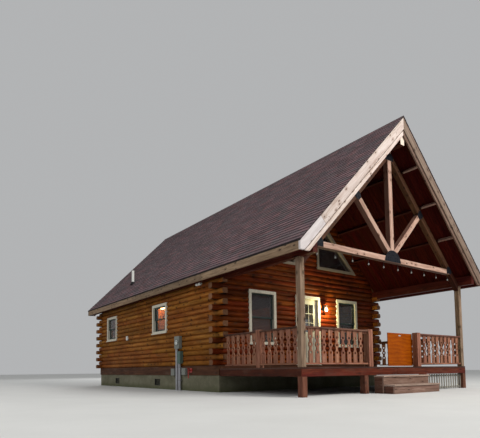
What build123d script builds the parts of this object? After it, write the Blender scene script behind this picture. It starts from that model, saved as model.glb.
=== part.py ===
from build123d import *
import os

# Log cabin with a covered front porch.
# X runs along the front gable (right is +), Y runs from the porch to the back,
# Z is up. Origin: centre of the footprint box, on the ground. Millimetres.
os.makedirs("parts", exist_ok=True)

# ---------------------------------------------------------------- dimensions
DECK = 660.0          # deck top above the ground (three risers of 220)
WIN = 3330.0          # inner face of the side walls (half width)
T = 180.0             # log thickness, flat inside and round outside
GROOVE = 45.0         # depth of the joint line behind the crown of a log
H = 153.0             # course height
Z0 = 90.0             # bottom of the first course above the deck top
NC = 17               # courses up to the eave
BW = 9200.0           # depth of the walled body
PASS = 200.0          # how far a passing log runs past the corner
RIDGE = 6600.0        # top of the roof at the ridge
EAVE = 3900.0         # half span of the roof at the fascia
SHV = 22.0            # shingle layer, measured plumb
SLABV = 400.0         # roof structure down to the soffit, measured plumb
CHORDV = 745.0        # top of the truss chords below the roof surface, plumb
YF = -3580.0          # face of the front rake boards
YB = 9730.0           # face of the back rake boards
RT = 58.0             # rake board build-up
DECKX = 3485.0        # half width of the deck
DECKY = -3140.0       # front edge of the deck
POSTY = -3050.0       # centre line of the porch posts and front railing
POSTX = 3400.0        # corner post centre
PS = 70.0             # half size of a corner post
STAIRX = 1060.0       # stair post centre
SS = 80.0             # half size of a stair post
BEAM_Z = 2465.0       # underside of the porch eave beams
TRIM = 90.0           # width of door and window casings
STEP_FRONT = -3720.0  # nose of the lowest tread
YC = ((STEP_FRONT) + (YB + 12.0)) / 2.0   # centre of the footprint in Y

# building axes -> part axes
SHIFT = Pos(0, -YC, DECK)


def out(name, solids):
    if not isinstance(solids, (list, tuple)):
        solids = [solids]
    flat = []
    for s in solids:
        flat += list(s.solids())
    shp = flat[0] if len(flat) == 1 else Compound(children=flat)
    shp = SHIFT * shp
    export_step(shp, "parts/" + name + ".step")


def B(x0, x1, y0, y1, z0, z1):
    return Pos((x0 + x1) / 2, (y0 + y1) / 2, (z0 + z1) / 2) * Box(
        abs(x1 - x0), abs(y1 - y0), abs(z1 - z0))


def PXZ(pts, y0, y1):
    f = Face(Wire.make_polygon([Vector(x, y0, z) for x, z in pts], close=True))
    return Solid.extrude(f, Vector(0, y1 - y0, 0))


def PYZ(pts, x0, x1):
    f = Face(Wire.make_polygon([Vector(x0, y, z) for y, z in pts], close=True))
    return Solid.extrude(f, Vector(x1 - x0, 0, 0))


def mx(pts):
    return [(-x, z) for x, z in pts]


def fuse(parts):
    a = parts[0]
    return a if len(parts) == 1 else a.fuse(*parts[1:]).clean()


def cyl(x, y, z0, z1, r):
    return Pos(x, y, (z0 + z1) / 2) * Cylinder(r, z1 - z0)


# ---------------------------------------------------------------- log walls
def log_prism(k0, k1, mapf, vec):
    """Stack of D-logs, courses k0..k1-1; mapf maps (depth, z) to a point."""
    edges = []
    zt, zb = Z0 + H * k1, Z0 + H * k0
    edges.append(Edge.make_line(mapf(0, zt), mapf(0, zb)))
    edges.append(Edge.make_line(mapf(0, zb), mapf(T - GROOVE, zb)))
    for k in range(k0, k1):
        z = Z0 + H * k
        edges.append(Edge.make_three_point_arc(
            mapf(T - GROOVE, z), mapf(T, z + H / 2), mapf(T - GROOVE, z + H)))
    edges.append(Edge.make_line(mapf(T - GROOVE, zt), mapf(0, zt)))
    f = Face(Wire(edges))
    return Solid.extrude(f, vec)


def side_wall(sgn, windows):
    m = lambda y: (lambda d, z: Vector(sgn * (WIN + d), y, z))
    parts = [log_prism(0, NC, m(T), Vector(0, BW - 2 * T, 0))]
    for k in range(1, NC, 2):
        parts.append(log_prism(k, k + 1, m(-PASS), Vector(0, PASS + T, 0)))
        parts.append(log_prism(k, k + 1, m(BW - T), Vector(0, PASS + T, 0)))
    # bevelled plate log under the roof
    zt = Z0 + H * NC
    xo = WIN + T - GROOVE
    under = RIDGE - SLABV
    parts.append(PXZ([(sgn * WIN, zt), (sgn * xo, zt), (sgn * xo, under - xo),
                      (sgn * WIN, under - WIN)], 0, BW))
    w = fuse(parts)
    for yc, z0, z1 in windows:
        w = w - B(sgn * (WIN - 50), sgn * (WIN + T + 50), yc - 525, yc + 525, z0, z1)
    return w


SIDE_WIN = [(3525.0, 1205.0, 2225.0), (7840.0, 1205.0, 2225.0)]
FRONT_WIN = [(-1900.0, 690.0, 2310.0), (1900.0, 690.0, 2310.0)]
BACK_WIN = [(-1900.0, 1205.0, 2225.0), (1900.0, 1205.0, 2225.0)]

out("left_wall", side_wall(-1, SIDE_WIN))
out("right_wall", side_wall(1, SIDE_WIN))


def end_wall(x0, x1, back, k0=0, k1=NC, passing=()):
    if back:
        m = lambda x: (lambda d, z: Vector(x, BW - T + d, z))
    else:
        m = lambda x: (lambda d, z: Vector(x, T - d, z))
    parts = [log_prism(k0, k1, m(x0), Vector(x1 - x0, 0, 0))]
    for k in range(0, NC, 2):
        e = WIN + T + PASS if k < NC - 1 else 3505.0
        if "l" in passing:
            parts.append(log_prism(k, k + 1, m(-e), Vector(e - WIN, 0, 0)))
        if "r" in passing:
            parts.append(log_prism(k, k + 1, m(WIN), Vector(e - WIN, 0, 0)))
    return fuse(parts)


DOORX = 550.0
DOORZ = 2310.0
fl = end_wall(-WIN, -DOORX, False, passing=("l",))
fr = end_wall(DOORX, WIN, False, passing=("r",))
x, z0, z1 = FRONT_WIN[0]
fl = fl - B(x - 525, x + 525, -50, T + 50, z0, z1)
x, z0, z1 = FRONT_WIN[1]
fr = fr - B(x - 525, x + 525, -50, T + 50, z0, z1)
out("front_wall_left", fl)
out("front_wall_right", fr)
out("front_wall_over_door",
    end_wall(-DOORX, DOORX, False, 14, NC) - B(-DOORX - 9, DOORX + 9, -50, T + 50, 2000, DOORZ))
bwall = end_wall(-WIN, WIN, True, passing=("l", "r"))
for x, z0, z1 in BACK_WIN:
    bwall = bwall - B(x - 525, x + 525, BW - T - 50, BW + 50, z0, z1)
out("back_wall", bwall)

# ---------------------------------------------------------------- roof timbers
UND = RIDGE - SLABV                       # soffit plane: z = UND - |x|
PURL = [740.0, 1580.0, 2420.0]
Q = 0.70710678


def purlin_pts(xc, grow=0.0):
    px, pz = xc, UND - xc
    a, d = 23.0 + grow, 106.0 + grow
    up = grow
    return [(px - a * Q + up * Q, pz + a * Q + up * Q), (px + a * Q + up * Q, pz - a * Q + up * Q),
            (px + a * Q - d * Q, pz - a * Q - d * Q), (px - a * Q - d * Q, pz + a * Q - d * Q)]


purlins = []
for xc in PURL:
    purlins.append(PXZ(purlin_pts(xc), YF + RT, YB - RT))
    purlins.append(PXZ(mx(purlin_pts(xc)), YF + RT, YB - RT))
out("purlins", purlins)
RBW = 80.0
RB = [(-RBW, 5820), (RBW, 5820), (RBW, UND - RBW), (0, UND), (-RBW, UND - RBW)]
out("ridge_beam", PXZ(RB, YF + RT, YB - RT))


# ---------------------------------------------------------------- log gables
GW = [(475.0, 3250.0), (2420.0, 3250.0), (475.0, 5195.0)]   # outline of the gable window casing


def gable(back):
    zt = Z0 + H * NC
    n = 23
    if back:
        m = lambda x: (lambda d, z: Vector(x, BW - T + d, z))
        y0, y1 = BW - T - 60, BW + 60
    else:
        m = lambda x: (lambda d, z: Vector(x, T - d, z))
        y0, y1 = -60, T + 60
    g = log_prism(NC, NC + n, m(-3600), Vector(7200, 0, 0))
    tri = PXZ([(-(UND - zt), zt), (UND - zt, zt), (0, UND)], y0, y1)
    g = g & tri
    cuts = [PXZ(RB, y0 - 5, y1 + 5)]
    for xc in PURL:
        cuts.append(PXZ(purlin_pts(xc), y0 - 5, y1 + 5))
        cuts.append(PXZ(mx(purlin_pts(xc)), y0 - 5, y1 + 5))
    if not back:
        cuts.append(PXZ(GW, y0 - 5, y1 + 5))
        cuts.append(PXZ(mx(GW), y0 - 5, y1 + 5))
    # trim the skirt of the gable that would stand over the side walls
    for s in (-1, 1):
        cuts.append(B(s * WIN, s * 4000, y0 - 5, y1 + 5, zt - 5, zt + 400))
    for c in cuts:
        g = g - c
    return g


out("front_gable", gable(False))
out("back_gable", gable(True))

# ---------------------------------------------------------------- roof slabs
for s, nm in ((-1, "roof_left"), (1, "roof_right")):
    body = PXZ([(0, RIDGE - SHV), (s * 3862, RIDGE - SHV - 3862), (s * 3862, 2455),
                (s * (UND - 2455), 2455), (0, UND)], YF + RT, YB - RT)
    cover = PXZ([(0, RIDGE), (s * 3915, RIDGE - 3915), (s * 3904, RIDGE - SHV - 3904),
                 (0, RIDGE - SHV)], YF - 12, YB + 12)
    out(nm, body.fuse(cover).clean())

out("fascia_boards", [B(s * 3862, s * EAVE, YF + RT, YB - RT, 2455, 2676) for s in (-1, 1)])

RO = [(1.0, RIDGE - SHV - 2), (EAVE, RIDGE - SHV - 2 - EAVE), (EAVE, 2458), (6234 - 2458.0, 2458), (1.0, 6233)]
RI = [(1.0, 6232), (6233 - 2458.0, 2458), (6065 - 2458.0, 2458), (1.0, 6064)]
out("rake_boards_front", [PXZ(RO, YF, YF + RT), PXZ(mx(RO), YF, YF + RT)])
out("rake_trim_front", [PXZ(RI, YF + 20, YF + RT), PXZ(mx(RI), YF + 20, YF + RT)])
out("rake_boards_back", [PXZ(RO, YB - RT, YB), PXZ(mx(RO), YB - RT, YB)])
out("rake_trim_back", [PXZ(RI, YB - RT, YB - 20), PXZ(mx(RI), YB - RT, YB - 20)])

# ---------------------------------------------------------------- porch frame
beam = [(YF + RT, BEAM_Z), (-PASS, BEAM_Z), (-PASS, 2538), (0, 2538), (0, 2725), (YF + RT, 2725)]
out("eave_beams", [PYZ(beam, s * 3330, s * 3470) for s in (-1, 1)])
out("porch_posts", [B(s * POSTX - PS, s * POSTX + PS, POSTY - PS, POSTY + PS, 0, BEAM_Z) for s in (-1, 1)])

TY0, TY1 = POSTY - 70, POSTY + 70          # truss thickness 140
CL = RIDGE - 957.0                         # lower edge of the top chords: z = CL - |x|
CT = RIDGE - CHORDV
king = B(-80, 80, TY0, TY1, 2915, 5820)
out("truss_king_post", king)
tc = [(80, CT - 80), (3330, CT - 3330), (3330, CL - 3330), (80, CL - 80)]


def chord(f):
    """Top chord with the blocks that carry the purlins."""
    c = PXZ(f(tc), TY0, TY1)
    for xc in PURL:
        px, pz = xc, UND - xc
        q = []
        for a, d in ((-23, 106.5), (23, 106.5), (23, 244.5), (-23, 244.5)):
            q.append((px + a * Q - d * Q, pz - a * Q - d * Q))
        c = c.fuse(PXZ(f(q), TY0, TY1))
    return c.clean()


out("truss_top_chords", [chord(lambda p: p), chord(mx)])
bc = [(CL - 2775, 2775), (CL - 2915, 2915), (-(CL - 2915), 2915), (-(CL - 2775), 2775)]
out("truss_bottom_chord", PXZ(bc, TY0, TY1))
st = [(80, 2915), (84, 2915), ((CL - 2831) / 2, (CL + 2831) / 2), ((CL - 3029) / 2, (CL + 3029) / 2), (80, 3109)]
out("truss_struts", [PXZ(st, TY0, TY1), PXZ(mx(st), TY0, TY1)])


def plate_set(y0, y1):
    r = []
    e = [Edge.make_line(Vector(-350, y0, 2778), Vector(350, y0, 2778)),
         Edge.make_line(Vector(350, y0, 2778), Vector(350, y0, 2800)),
         Edge.make_three_point_arc(Vector(350, y0, 2800), Vector(0, y0, 3090), Vector(-350, y0, 2800)),
         Edge.make_line(Vector(-350, y0, 2800), Vector(-350, y0, 2778))]
    r.append(Solid.extrude(Face(Wire(e)), Vector(0, y1 - y0, 0)))
    mid = (CT + CL) / 2
    cx, cz = (mid - 2930) / 2, (mid + 2930) / 2
    top = []
    for a, d in ((-110, -68), (110, -68), (110, 60), (60, 160), (-60, 160), (-110, 60)):
        top.append((cx + a * Q - d * Q, cz - a * Q - d * Q))
    ends = [(2690, 2785), (2690, 2912), (2745, 3000), (2835, 3000), (2960, 2880), (2920, 2785)]
    for p in (top, ends):
        r.append(PXZ(p, y0, y1))
        r.append(PXZ(mx(p), y0, y1))
    r.append(PXZ([(-170, 5560), (170, 5560), (170, 5670), (80, 5760), (-80, 5760), (-170, 5670)], y0, y1))
    return r


out("truss_plates", plate_set(TY0 - 8, TY0) + plate_set(TY1, TY1 + 8))

# ---------------------------------------------------------------- base
FX = 3480.0
FT = 200.0
FY0, FY1 = 30.0, BW - 30.0


def vent(x0, x1, y):
    return B(x0, x1, y - 200, y + 200, -540, -320)


fs = []
for s in (-1, 1):
    w = B(s * (FX - FT), s * FX, FY0, FY1, -DECK, -190)
    for y in (3750.0, 7300.0):
        w = w - vent(s * (FX - 40), s * (FX + 9), y)
    fs.append(w)
out("foundation_sides", fs)
out("foundation_ends", [B(-(FX - FT), FX - FT, a, b, -DECK, -190) for a, b in ((FY0, FY0 + FT), (FY1 - FT, FY1))])
out("sill_sides", [B(s * 3325, s * 3505, 5, BW - 5, -190, 90) for s in (-1, 1)])
out("sill_ends", [B(-3325, 3325, a, b, -190, 90) for a, b in ((5, 185), (BW - 185, BW - 5))])
out("floor", B(-3325, 3325, 185, BW - 185, -190, 90))

# ---------------------------------------------------------------- deck
out("deck_boards", B(-DECKX, DECKX, DECKY, 0, -38, 0))
rim = B(-DECKX, DECKX, DECKY, 0, -207, -38) - B(-DECKX + 40, DECKX - 40, DECKY + 40, -40, -210, -30)
out("deck_rim", rim)
js = []
for i in range(11):
    xj = -3000.0 + 600.0 * i
    js.append(B(xj - 20, xj + 20, DECKY + 40, -40, -207, -38))
out("deck_joists", js)
out("deck_posts", [B(x - 75, x + 75, DECKY, DECKY + 150, -DECK, -207) for x in (-3410, -1280, 1280, 3410)])
sk = [B(1355, 3335, DECKY + 95, DECKY + 115, -290, -250), B(1355, 3335, DECKY + 95, DECKY + 115, -620, -580)]
n = 16
for i in range(n):
    xs = 1385 + (3305 - 1385) * i / (n - 1)
    sk.append(B(xs - 24, xs + 24, DECKY + 75, DECKY + 95, -645, -215))
out("deck_skirt", fuse(sk))

# ---------------------------------------------------------------- stair
treads = [B(-1000, 1000, -3430, DECKY, -258, -220), B(-1000, 1000, STEP_FRONT, -3430, -478, -440)]
out("stair_treads", treads)
bx = []
for y0, y1, zt in ((-3405, DECKY, -258), (-3695, -3430, -478)):
    bx.append(B(-985, 985, y0, y1, -DECK, zt) - B(-947, 947, y0 + 38, y1 + 5, -DECK - 5, zt + 5))
bx[0] = B(-985, 985, -3405, DECKY, -DECK, -258) - B(-947, 947, -3367, DECKY + 5, -DECK - 5, -250)
bx[1] = B(-985, 985, -3695, -3430, -DECK, -478) - B(-947, 947, -3657, -3425, -DECK - 5, -470)
out("stair_boxes", bx)

# ---------------------------------------------------------------- railings
RAIL = 914.0


def rail_x(x0, x1, first, count, pitch):
    r = [B(x0, x1, POSTY - 70, POSTY + 70, RAIL - 38, RAIL), B(x0, x1, POSTY - 19, POSTY + 19, RAIL - 90, RAIL - 38),
         B(x0, x1, POSTY - 45, POSTY + 45, 62, 100)]
    for i in range(count):
        xc = first + i * pitch
        r.append(B(xc - 70, xc + 70, POSTY - 38, POSTY - 19, 100, RAIL - 38))
    return fuse(r)


def rail_y(s, y0, y1, ys):
    xo = s * POSTX
    r = [B(xo - 70, xo + 70, y0, y1, RAIL - 38, RAIL), B(xo - 19, xo + 19, y0, y1, RAIL - 90, RAIL - 38),
         B(xo - 45, xo + 45, y0, y1, 62, 100)]
    for yc in ys:
        r.append(B(xo + s * 19, xo + s * 38, yc - 70, yc + 70, 100, RAIL - 38))
    return fuse(r)


PITCH = 218.5
out("railing_front", [rail_x(-(POSTX - PS), -(STAIRX + SS), -3150, 9, PITCH),
                      rail_x(STAIRX + SS, POSTX - PS, 3150 - 8 * PITCH, 9, PITCH)])
MIDY = -1620.0
YSA = [-345 - 218.5 * i for i in range(6)]
YSB = [-1795 - 218.5 * i for i in range(6)]
for s, nm in ((-1, "railing_left"), (1, "railing_right")):
    out(nm, [rail_y(s, MIDY + PS, -PASS - 4, YSA), rail_y(s, POSTY + PS, MIDY - PS, YSB)])
out("rail_posts", [B(s * STAIRX - SS, s * STAIRX + SS, POSTY - SS, POSTY + SS, 0, 935) for s in (-1, 1)]
    + [B(s * POSTX - PS, s * POSTX + PS, MIDY - PS, MIDY + PS, 0, 935) for s in (-1, 1)])

# ---------------------------------------------------------------- gate
GAX, GAY = 1015.0, -2958.0                 # gate hinge axis
gate = B(-100, 1005, -2950, -2931, 20, 905)
gate = gate - (B(400, 500, -2990, -2900, 825, 857) + Pos(400, -2940, 841) * Rot(90, 0, 0) * Cylinder(16, 100)
               + Pos(500, -2940, 841) * Rot(90, 0, 0) * Cylinder(16, 100))
for z in (150, 740):
    gate = gate + B(720, 1003, -2953, -2950, z - 20, z + 20)
out("gate", gate)
gh = []
for z in (150, 740):
    gh.append(cyl(GAX, GAY, z - 30, z + 30, 6).fuse(B(GAX - 6, GAX + 6, -2970, GAY, z - 30, z + 30)).clean())
out("gate_hinges", gh)

# ---------------------------------------------------------------- entry door
DAX, DAY = -456.0, 108.0                   # door hinge axis
ox = DOORX - TRIM
fr1 = B(-DOORX, DOORX, -20, 96, 90, DOORZ) - B(-ox, ox, -30, 200, 80, DOORZ - TRIM)
fr2 = B(-DOORX, DOORX, 96, T, 90, DOORZ) - B(-(ox + 30), ox + 30, -30, 200, 80, DOORZ - TRIM + 30)
out("door_frame", fr1.fuse(fr2).clean())
leaf = B(-452, 452, 60, 104, 98, 2210) - B(-300, 300, 50, 110, 1150, 2050)
for z in (400, 1150, 1950):
    leaf = leaf.fuse(cyl(DAX, DAY, z - 50, z + 50, 6))
out("front_door", leaf.clean())
out("door_glass", B(-300, 300, 78, 86, 1150, 2050))
knob = [cyl(0, 0, 0, 1, 1)]
k1 = Pos(385, 54, 1050) * Rot(90, 0, 0) * Cylinder(30, 12)
k2 = Pos(385, 33, 1050) * Rot(90, 0, 0) * Cylinder(10, 30)
k3 = Pos(385, 10, 1050) * Sphere(27)
k4 = Pos(385, 54, 1200) * Rot(90, 0, 0) * Cylinder(26, 12)
kb = Pos(385, 110, 1050) * Rot(90, 0, 0) * Cylinder(30, 12)
kc = Pos(385, 130, 1050) * Rot(90, 0, 0) * Cylinder(10, 28)
kd = Pos(385, 152, 1050) * Sphere(27)
out("door_knobs", [k1.fuse(k2).fuse(k3), k4, kb.fuse(kc).fuse(kd)])


# ---------------------------------------------------------------- windows
def win_parts(w, h, z0):
    """Window seen from outside: local u across, v depth (0 = crown of the logs,
    + inward), z up. Returns casing, sashes and panes as boxes."""
    hw = w / 2
    cas = [(-hw, hw, -20, T, z0, z0 + h, TRIM)]
    return cas


def place(kind, c, z0, z1):
    """Casing, sash frame and panes of one double-hung window."""
    hw, h = 525.0, z1 - z0

    def bx(u0, u1, v0, v1, a, b):
        if kind == "front":
            return B(c + u0, c + u1, v0, v1, a, b)
        if kind == "back":
            return B(c + u0, c + u1, BW - v1, BW - v0, a, b)
        s = -1 if kind == "left" else 1
        return B(s * (3510 - v0), s * (3510 - v1), c + u0, c + u1, a, b)

    cas = bx(-hw, hw, -20, T, z0, z1) - bx(-hw + TRIM, hw - TRIM, -40, T + 20, z0 + TRIM, z1 - TRIM)
    sill = bx(-hw - 20, hw + 20, -45, -20, z0, z0 + 35)
    cas = cas.fuse(sill).clean()
    a0, a1 = z0 + TRIM, z1 - TRIM
    mid = (a0 + a1) / 2
    iw = hw - TRIM
    up = bx(-iw, iw, 40, 75, mid - 20, a1) - bx(-iw + 45, iw - 45, 30, 85, mid + 20, a1 - 45)
    lo = bx(-iw, iw, 75, 110, a0, mid + 20) - bx(-iw + 45, iw - 45, 65, 120, a0 + 55, mid - 20)
    sash = up.fuse(lo).clean()
    pu = bx(-iw + 45, iw - 45, 54, 62, mid + 20, a1 - 45)
    pl = bx(-iw + 45, iw - 45, 89, 97, a0 + 55, mid - 20)
    return cas, sash, [pu, pl]


cas, sas, gls = [], [], []
for kind, lst in (("front", FRONT_WIN), ("left", SIDE_WIN), ("right", SIDE_WIN), ("back", BACK_WIN)):
    for c, z0, z1 in lst:
        a, b, g = place(kind, c, z0, z1)
        cas.append(a)
        sas.append(b)
        gls += g
out("window_casings", cas)
out("window_sashes", sas)
out("window_glass", gls)

# gable windows: right triangles, casing 90 wide, pane behind
k = TRIM
r2 = 1.0 + 1.41421356
GI = [(475 + k, 3250 + k), (2420 - k * r2, 3250 + k), (475 + k, 5195 - k * r2)]
gc, gg = [], []
for f in (lambda p: p, mx):
    gc.append(PXZ(f(GW), -20, T) - PXZ(f(GI), -40, T + 20))
    gg.append(PXZ(f(GI), 60, 68))
out("gable_window_casings", gc)
out("gable_window_glass", gg)

# ---------------------------------------------------------------- fittings
LX, LZ = 720.0, 1950.0                     # porch lantern
lan = [B(LX - 55, LX + 55, -12, 0, LZ - 90, LZ + 90), B(LX - 9, LX + 9, -120, -12, LZ + 95 - 14, LZ + 95 + 4 - 14)]
body = Pos(LX, -120, LZ - 30) * Cylinder(62, 190)
cap = Pos(LX, -120, LZ + 90) * Cone(80, 18, 50)
base = Pos(LX, -120, LZ - 135) * Cylinder(40, 20)
out("lantern", body.fuse(cap).fuse(base).fuse(B(LX - 9, LX + 9, -120, -12, LZ + 66, LZ + 84)).fuse(lan[0]).clean())

XW = -3510.0
mb = B(XW - 110, XW, 2015, 2305, 640, 1030)
mg = Pos(XW - 145, 2130, 830) * Rot(0, 90, 0) * Cylinder(85, 70)
out("meter_box", mb.fuse(mg).clean())
out("service_boxes", [B(XW - 110, XW, 1942, 2135, 170, 555),
                      B(XW - 80, XW + 0, 2375, 2600, -200, 20),
                      B(XW - 80, XW + 0, 1685, 1925, -185, 32),
                      B(XW - 40, XW, 6160, 6300, 1150, 1310)])
out("conduits", [cyl(XW - 45, 2258, -DECK, 640, 42), cyl(XW - 45, 2085, -DECK, 170, 42)])
HY = 1465.0
hb = B(XW - 14, XW, HY - 65, HY + 65, -110, 20)
hb = hb.fuse(Pos(XW - 60, HY, -40) * Rot(0, 90, 0) * Cylinder(22, 100))
hb = hb.fuse(cyl(XW - 100, HY, -280, -20, 20)).fuse(Pos(XW - 100, HY, 20) * Cylinder(48, 16)).fuse(cyl(XW - 100, HY, -25, 15, 9))
out("hose_bib", hb.clean())

VX, VY = -3087.0, 6680.0                   # plumbing vent through the left slope
pipe = cyl(VX, VY, RIDGE + VX - 60, RIDGE + VX + 520, 52)
cutter = PXZ([(-3900, RIDGE - 3900), (0, RIDGE), (0, RIDGE - 900), (-3900, RIDGE - 4800)], VY - 300, VY + 300)
out("vent_pipe", pipe - cutter)

# twin floodlight on the soffit edge by the corner
FLY = 760.0
fb = cyl(-3640, FLY, 2520, 2560, 50)
f1 = Pos(-3640, FLY, 2490) * Cylinder(14, 70)
h1 = Pos(-3665, FLY - 70, 2455) * Rot(90, 0, 0) * Cylinder(45, 110)
h2 = Pos(-3665, FLY + 70, 2455) * Rot(90, 0, 0) * Cylinder(45, 110)
fl_ = fb.fuse(f1).fuse(h1).fuse(h2).clean()
cut2 = PXZ([(-3900, UND - 3900), (-3400, UND - 3400), (-3400, UND), (-3900, UND)], FLY - 300, FLY + 300)
out("floodlight", fl_ - cut2)

# string of bulbs fixed along the underside of the truss chord
sl = [B(-2850, 2850, POSTY - 6, POSTY + 6, 2763, 2775)]
for i in range(10):
    xb = -2835 + 630 * i
    sl.append(cyl(xb, POSTY, 2632, 2765, 13))
    sl.append(Pos(xb, POSTY, 2613) * Sphere(27))
out("string_lights", fuse(sl))
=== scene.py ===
import bpy, bmesh, math, random
import numpy as np
from mathutils import Vector, Matrix, geometry


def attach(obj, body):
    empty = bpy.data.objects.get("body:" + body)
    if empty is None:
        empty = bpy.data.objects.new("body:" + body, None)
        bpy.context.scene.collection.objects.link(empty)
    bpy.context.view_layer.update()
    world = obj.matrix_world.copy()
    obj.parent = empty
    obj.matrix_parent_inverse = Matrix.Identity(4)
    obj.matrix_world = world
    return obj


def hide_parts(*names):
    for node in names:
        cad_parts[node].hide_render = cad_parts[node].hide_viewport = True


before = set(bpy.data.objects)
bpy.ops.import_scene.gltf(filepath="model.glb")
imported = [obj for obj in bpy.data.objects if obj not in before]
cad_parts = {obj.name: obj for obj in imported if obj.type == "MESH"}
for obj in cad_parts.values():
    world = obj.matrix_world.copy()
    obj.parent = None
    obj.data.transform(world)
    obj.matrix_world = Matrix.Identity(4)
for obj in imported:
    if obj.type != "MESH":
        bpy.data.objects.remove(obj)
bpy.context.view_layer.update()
R = random.Random(7)

# building axes (x, y, z from the deck top) -> row frame
YC, DK = 3.011, 0.660
Q = math.sqrt(0.5)


def P(x, y, z):
    return (x, y - YC, z + DK)


# ------------------------------------------------------------------ camera
F_PX, CX, CY = 448.524, 219.106, 340.614
CAM = (-10.544, -10.133, -0.050)
YAW, PITCH, ROLL = math.radians(34.829), math.radians(3.788), math.radians(-0.584)
fw = Vector((math.sin(YAW) * math.cos(PITCH), math.cos(YAW) * math.cos(PITCH), math.sin(PITCH)))
r0 = Vector((math.cos(YAW), -math.sin(YAW), 0.0))
u0 = r0.cross(fw)
rt = r0 * math.cos(ROLL) + u0 * math.sin(ROLL)
up = -r0 * math.sin(ROLL) + u0 * math.cos(ROLL)
cd = bpy.data.cameras.new("camera")
cam = bpy.data.objects.new("camera", cd)
bpy.context.scene.collection.objects.link(cam)
M = Matrix((rt, up, -fw)).transposed().to_4x4()
M.translation = Vector(P(*CAM))
cam.matrix_world = M
cd.sensor_fit = "HORIZONTAL"
cd.sensor_width = 36.0
cd.lens = F_PX / 480.0 * 36.0
cd.shift_x = (240.0 - CX) / 480.0
cd.shift_y = (CY - 219.0) / 480.0
cd.clip_end = 200.0
bpy.context.scene.camera = cam


# ------------------------------------------------------------------ node helpers
class NT:
    def __init__(self, name):
        self.m = bpy.data.materials.new(name)
        self.m.use_nodes = True
        self.t = self.m.node_tree
        self.t.nodes.clear()
        self.out = self.t.nodes.new("ShaderNodeOutputMaterial")

    def node(self, kind, **kw):
        n = self.t.nodes.new(kind)
        for k, v in kw.items():
            setattr(n, k, v)
        return n

    def put(self, sock, v):
        if isinstance(v, bpy.types.NodeSocket):
            self.t.links.new(v, sock)
        elif v is not None:
            if sock.type == "RGBA" and len(v) == 3:
                v = (*v, 1.0)
            sock.default_value = v

    def math(self, op, a, b=None, c=None, clamp=False):
        n = self.node("ShaderNodeMath", operation=op, use_clamp=clamp)
        for i, v in enumerate((a, b, c)):
            if v is not None:
                self.put(n.inputs[i], v)
        return n.outputs[0]

    def sep(self, v):
        n = self.node("ShaderNodeSeparateXYZ")
        self.put(n.inputs[0], v)
        return n.outputs

    def comb(self, x, y, z):
        n = self.node("ShaderNodeCombineXYZ")
        for i, v in enumerate((x, y, z)):
            self.put(n.inputs[i], v)
        return n.outputs[0]

    def vmul(self, v, s):
        n = self.node("ShaderNodeVectorMath", operation="MULTIPLY")
        self.put(n.inputs[0], v)
        self.put(n.inputs[1], s)
        return n.outputs[0]

    def vadd(self, v, s):
        n = self.node("ShaderNodeVectorMath", operation="ADD")
        self.put(n.inputs[0], v)
        self.put(n.inputs[1], s)
        return n.outputs[0]

    def noise(self, v, scale=1.0, detail=4.0, rough=0.55, dist=0.0):
        n = self.node("ShaderNodeTexNoise")
        self.put(n.inputs["Vector"], v)
        n.inputs["Scale"].default_value = scale
        n.inputs["Detail"].default_value = detail
        n.inputs["Roughness"].default_value = rough
        n.inputs["Distortion"].default_value = dist
        return n.outputs["Fac"]

    def voro(self, v, scale=1.0, rnd=1.0, feature="F1", dims="3D"):
        n = self.node("ShaderNodeTexVoronoi", feature=feature)
        n.voronoi_dimensions = dims
        self.put(n.inputs["Vector"], v)
        n.inputs["Scale"].default_value = scale
        n.inputs["Randomness"].default_value = rnd
        return n.outputs

    def white(self, v):
        n = self.node("ShaderNodeTexWhiteNoise", noise_dimensions="3D")
        self.put(n.inputs["Vector"], v)
        return n.outputs["Value"]

    def ramp(self, fac, stops, interp="LINEAR"):
        n = self.node("ShaderNodeValToRGB")
        n.color_ramp.interpolation = interp
        els = n.color_ramp.elements
        while len(els) < len(stops):
            els.new(0.5)
        for e, (p, c) in zip(els, stops):
            e.position = p
            e.color = (*c, 1.0) if len(c) == 3 else c
        self.put(n.inputs[0], fac)
        return n.outputs[0]

    def mix(self, fac, a, b, mode="MIX"):
        n = self.node("ShaderNodeMix", data_type="RGBA", blend_type=mode)
        self.put(n.inputs[0], fac)
        self.put(n.inputs[6], a)
        self.put(n.inputs[7], b)
        return n.outputs[2]

    def maprange(self, v, a, b, c, d, smooth=False):
        n = self.node("ShaderNodeMapRange", clamp=True, interpolation_type="SMOOTHSTEP" if smooth else "LINEAR")
        for i, x in enumerate((v, a, b, c, d)):
            self.put(n.inputs[i], x)
        return n.outputs[0]

    def hsv(self, col, h=0.5, s=1.0, v=1.0):
        n = self.node("ShaderNodeHueSaturation")
        self.put(n.inputs["Hue"], h)
        self.put(n.inputs["Saturation"], s)
        self.put(n.inputs["Value"], v)
        self.put(n.inputs["Color"], col)
        return n.outputs[0]

    def attr(self, name):
        return self.node("ShaderNodeAttribute", attribute_name=name).outputs

    def pos(self):
        return self.node("ShaderNodeTexCoord").outputs["Object"]

    def normal(self):
        return self.node("ShaderNodeTexCoord").outputs["Normal"]

    def bump(self, h, strength=0.3, dist=0.01):
        n = self.node("ShaderNodeBump")
        n.inputs["Strength"].default_value = strength
        n.inputs["Distance"].default_value = dist
        self.put(n.inputs["Height"], h)
        return n.outputs[0]

    def bsdf(self, color, rough=0.6, metal=0.0, normal=None, spec=None, **kw):
        b = self.node("ShaderNodeBsdfPrincipled")
        self.put(b.inputs["Base Color"], color)
        self.put(b.inputs["Roughness"], rough)
        b.inputs["Metallic"].default_value = metal
        if spec is not None:
            b.inputs["Specular IOR Level"].default_value = spec
        if normal is not None:
            self.put(b.inputs["Normal"], normal)
        for k, v in kw.items():
            self.put(b.inputs[k], v)
        self.t.links.new(b.outputs[0], self.out.inputs[0])
        return self.m


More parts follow.
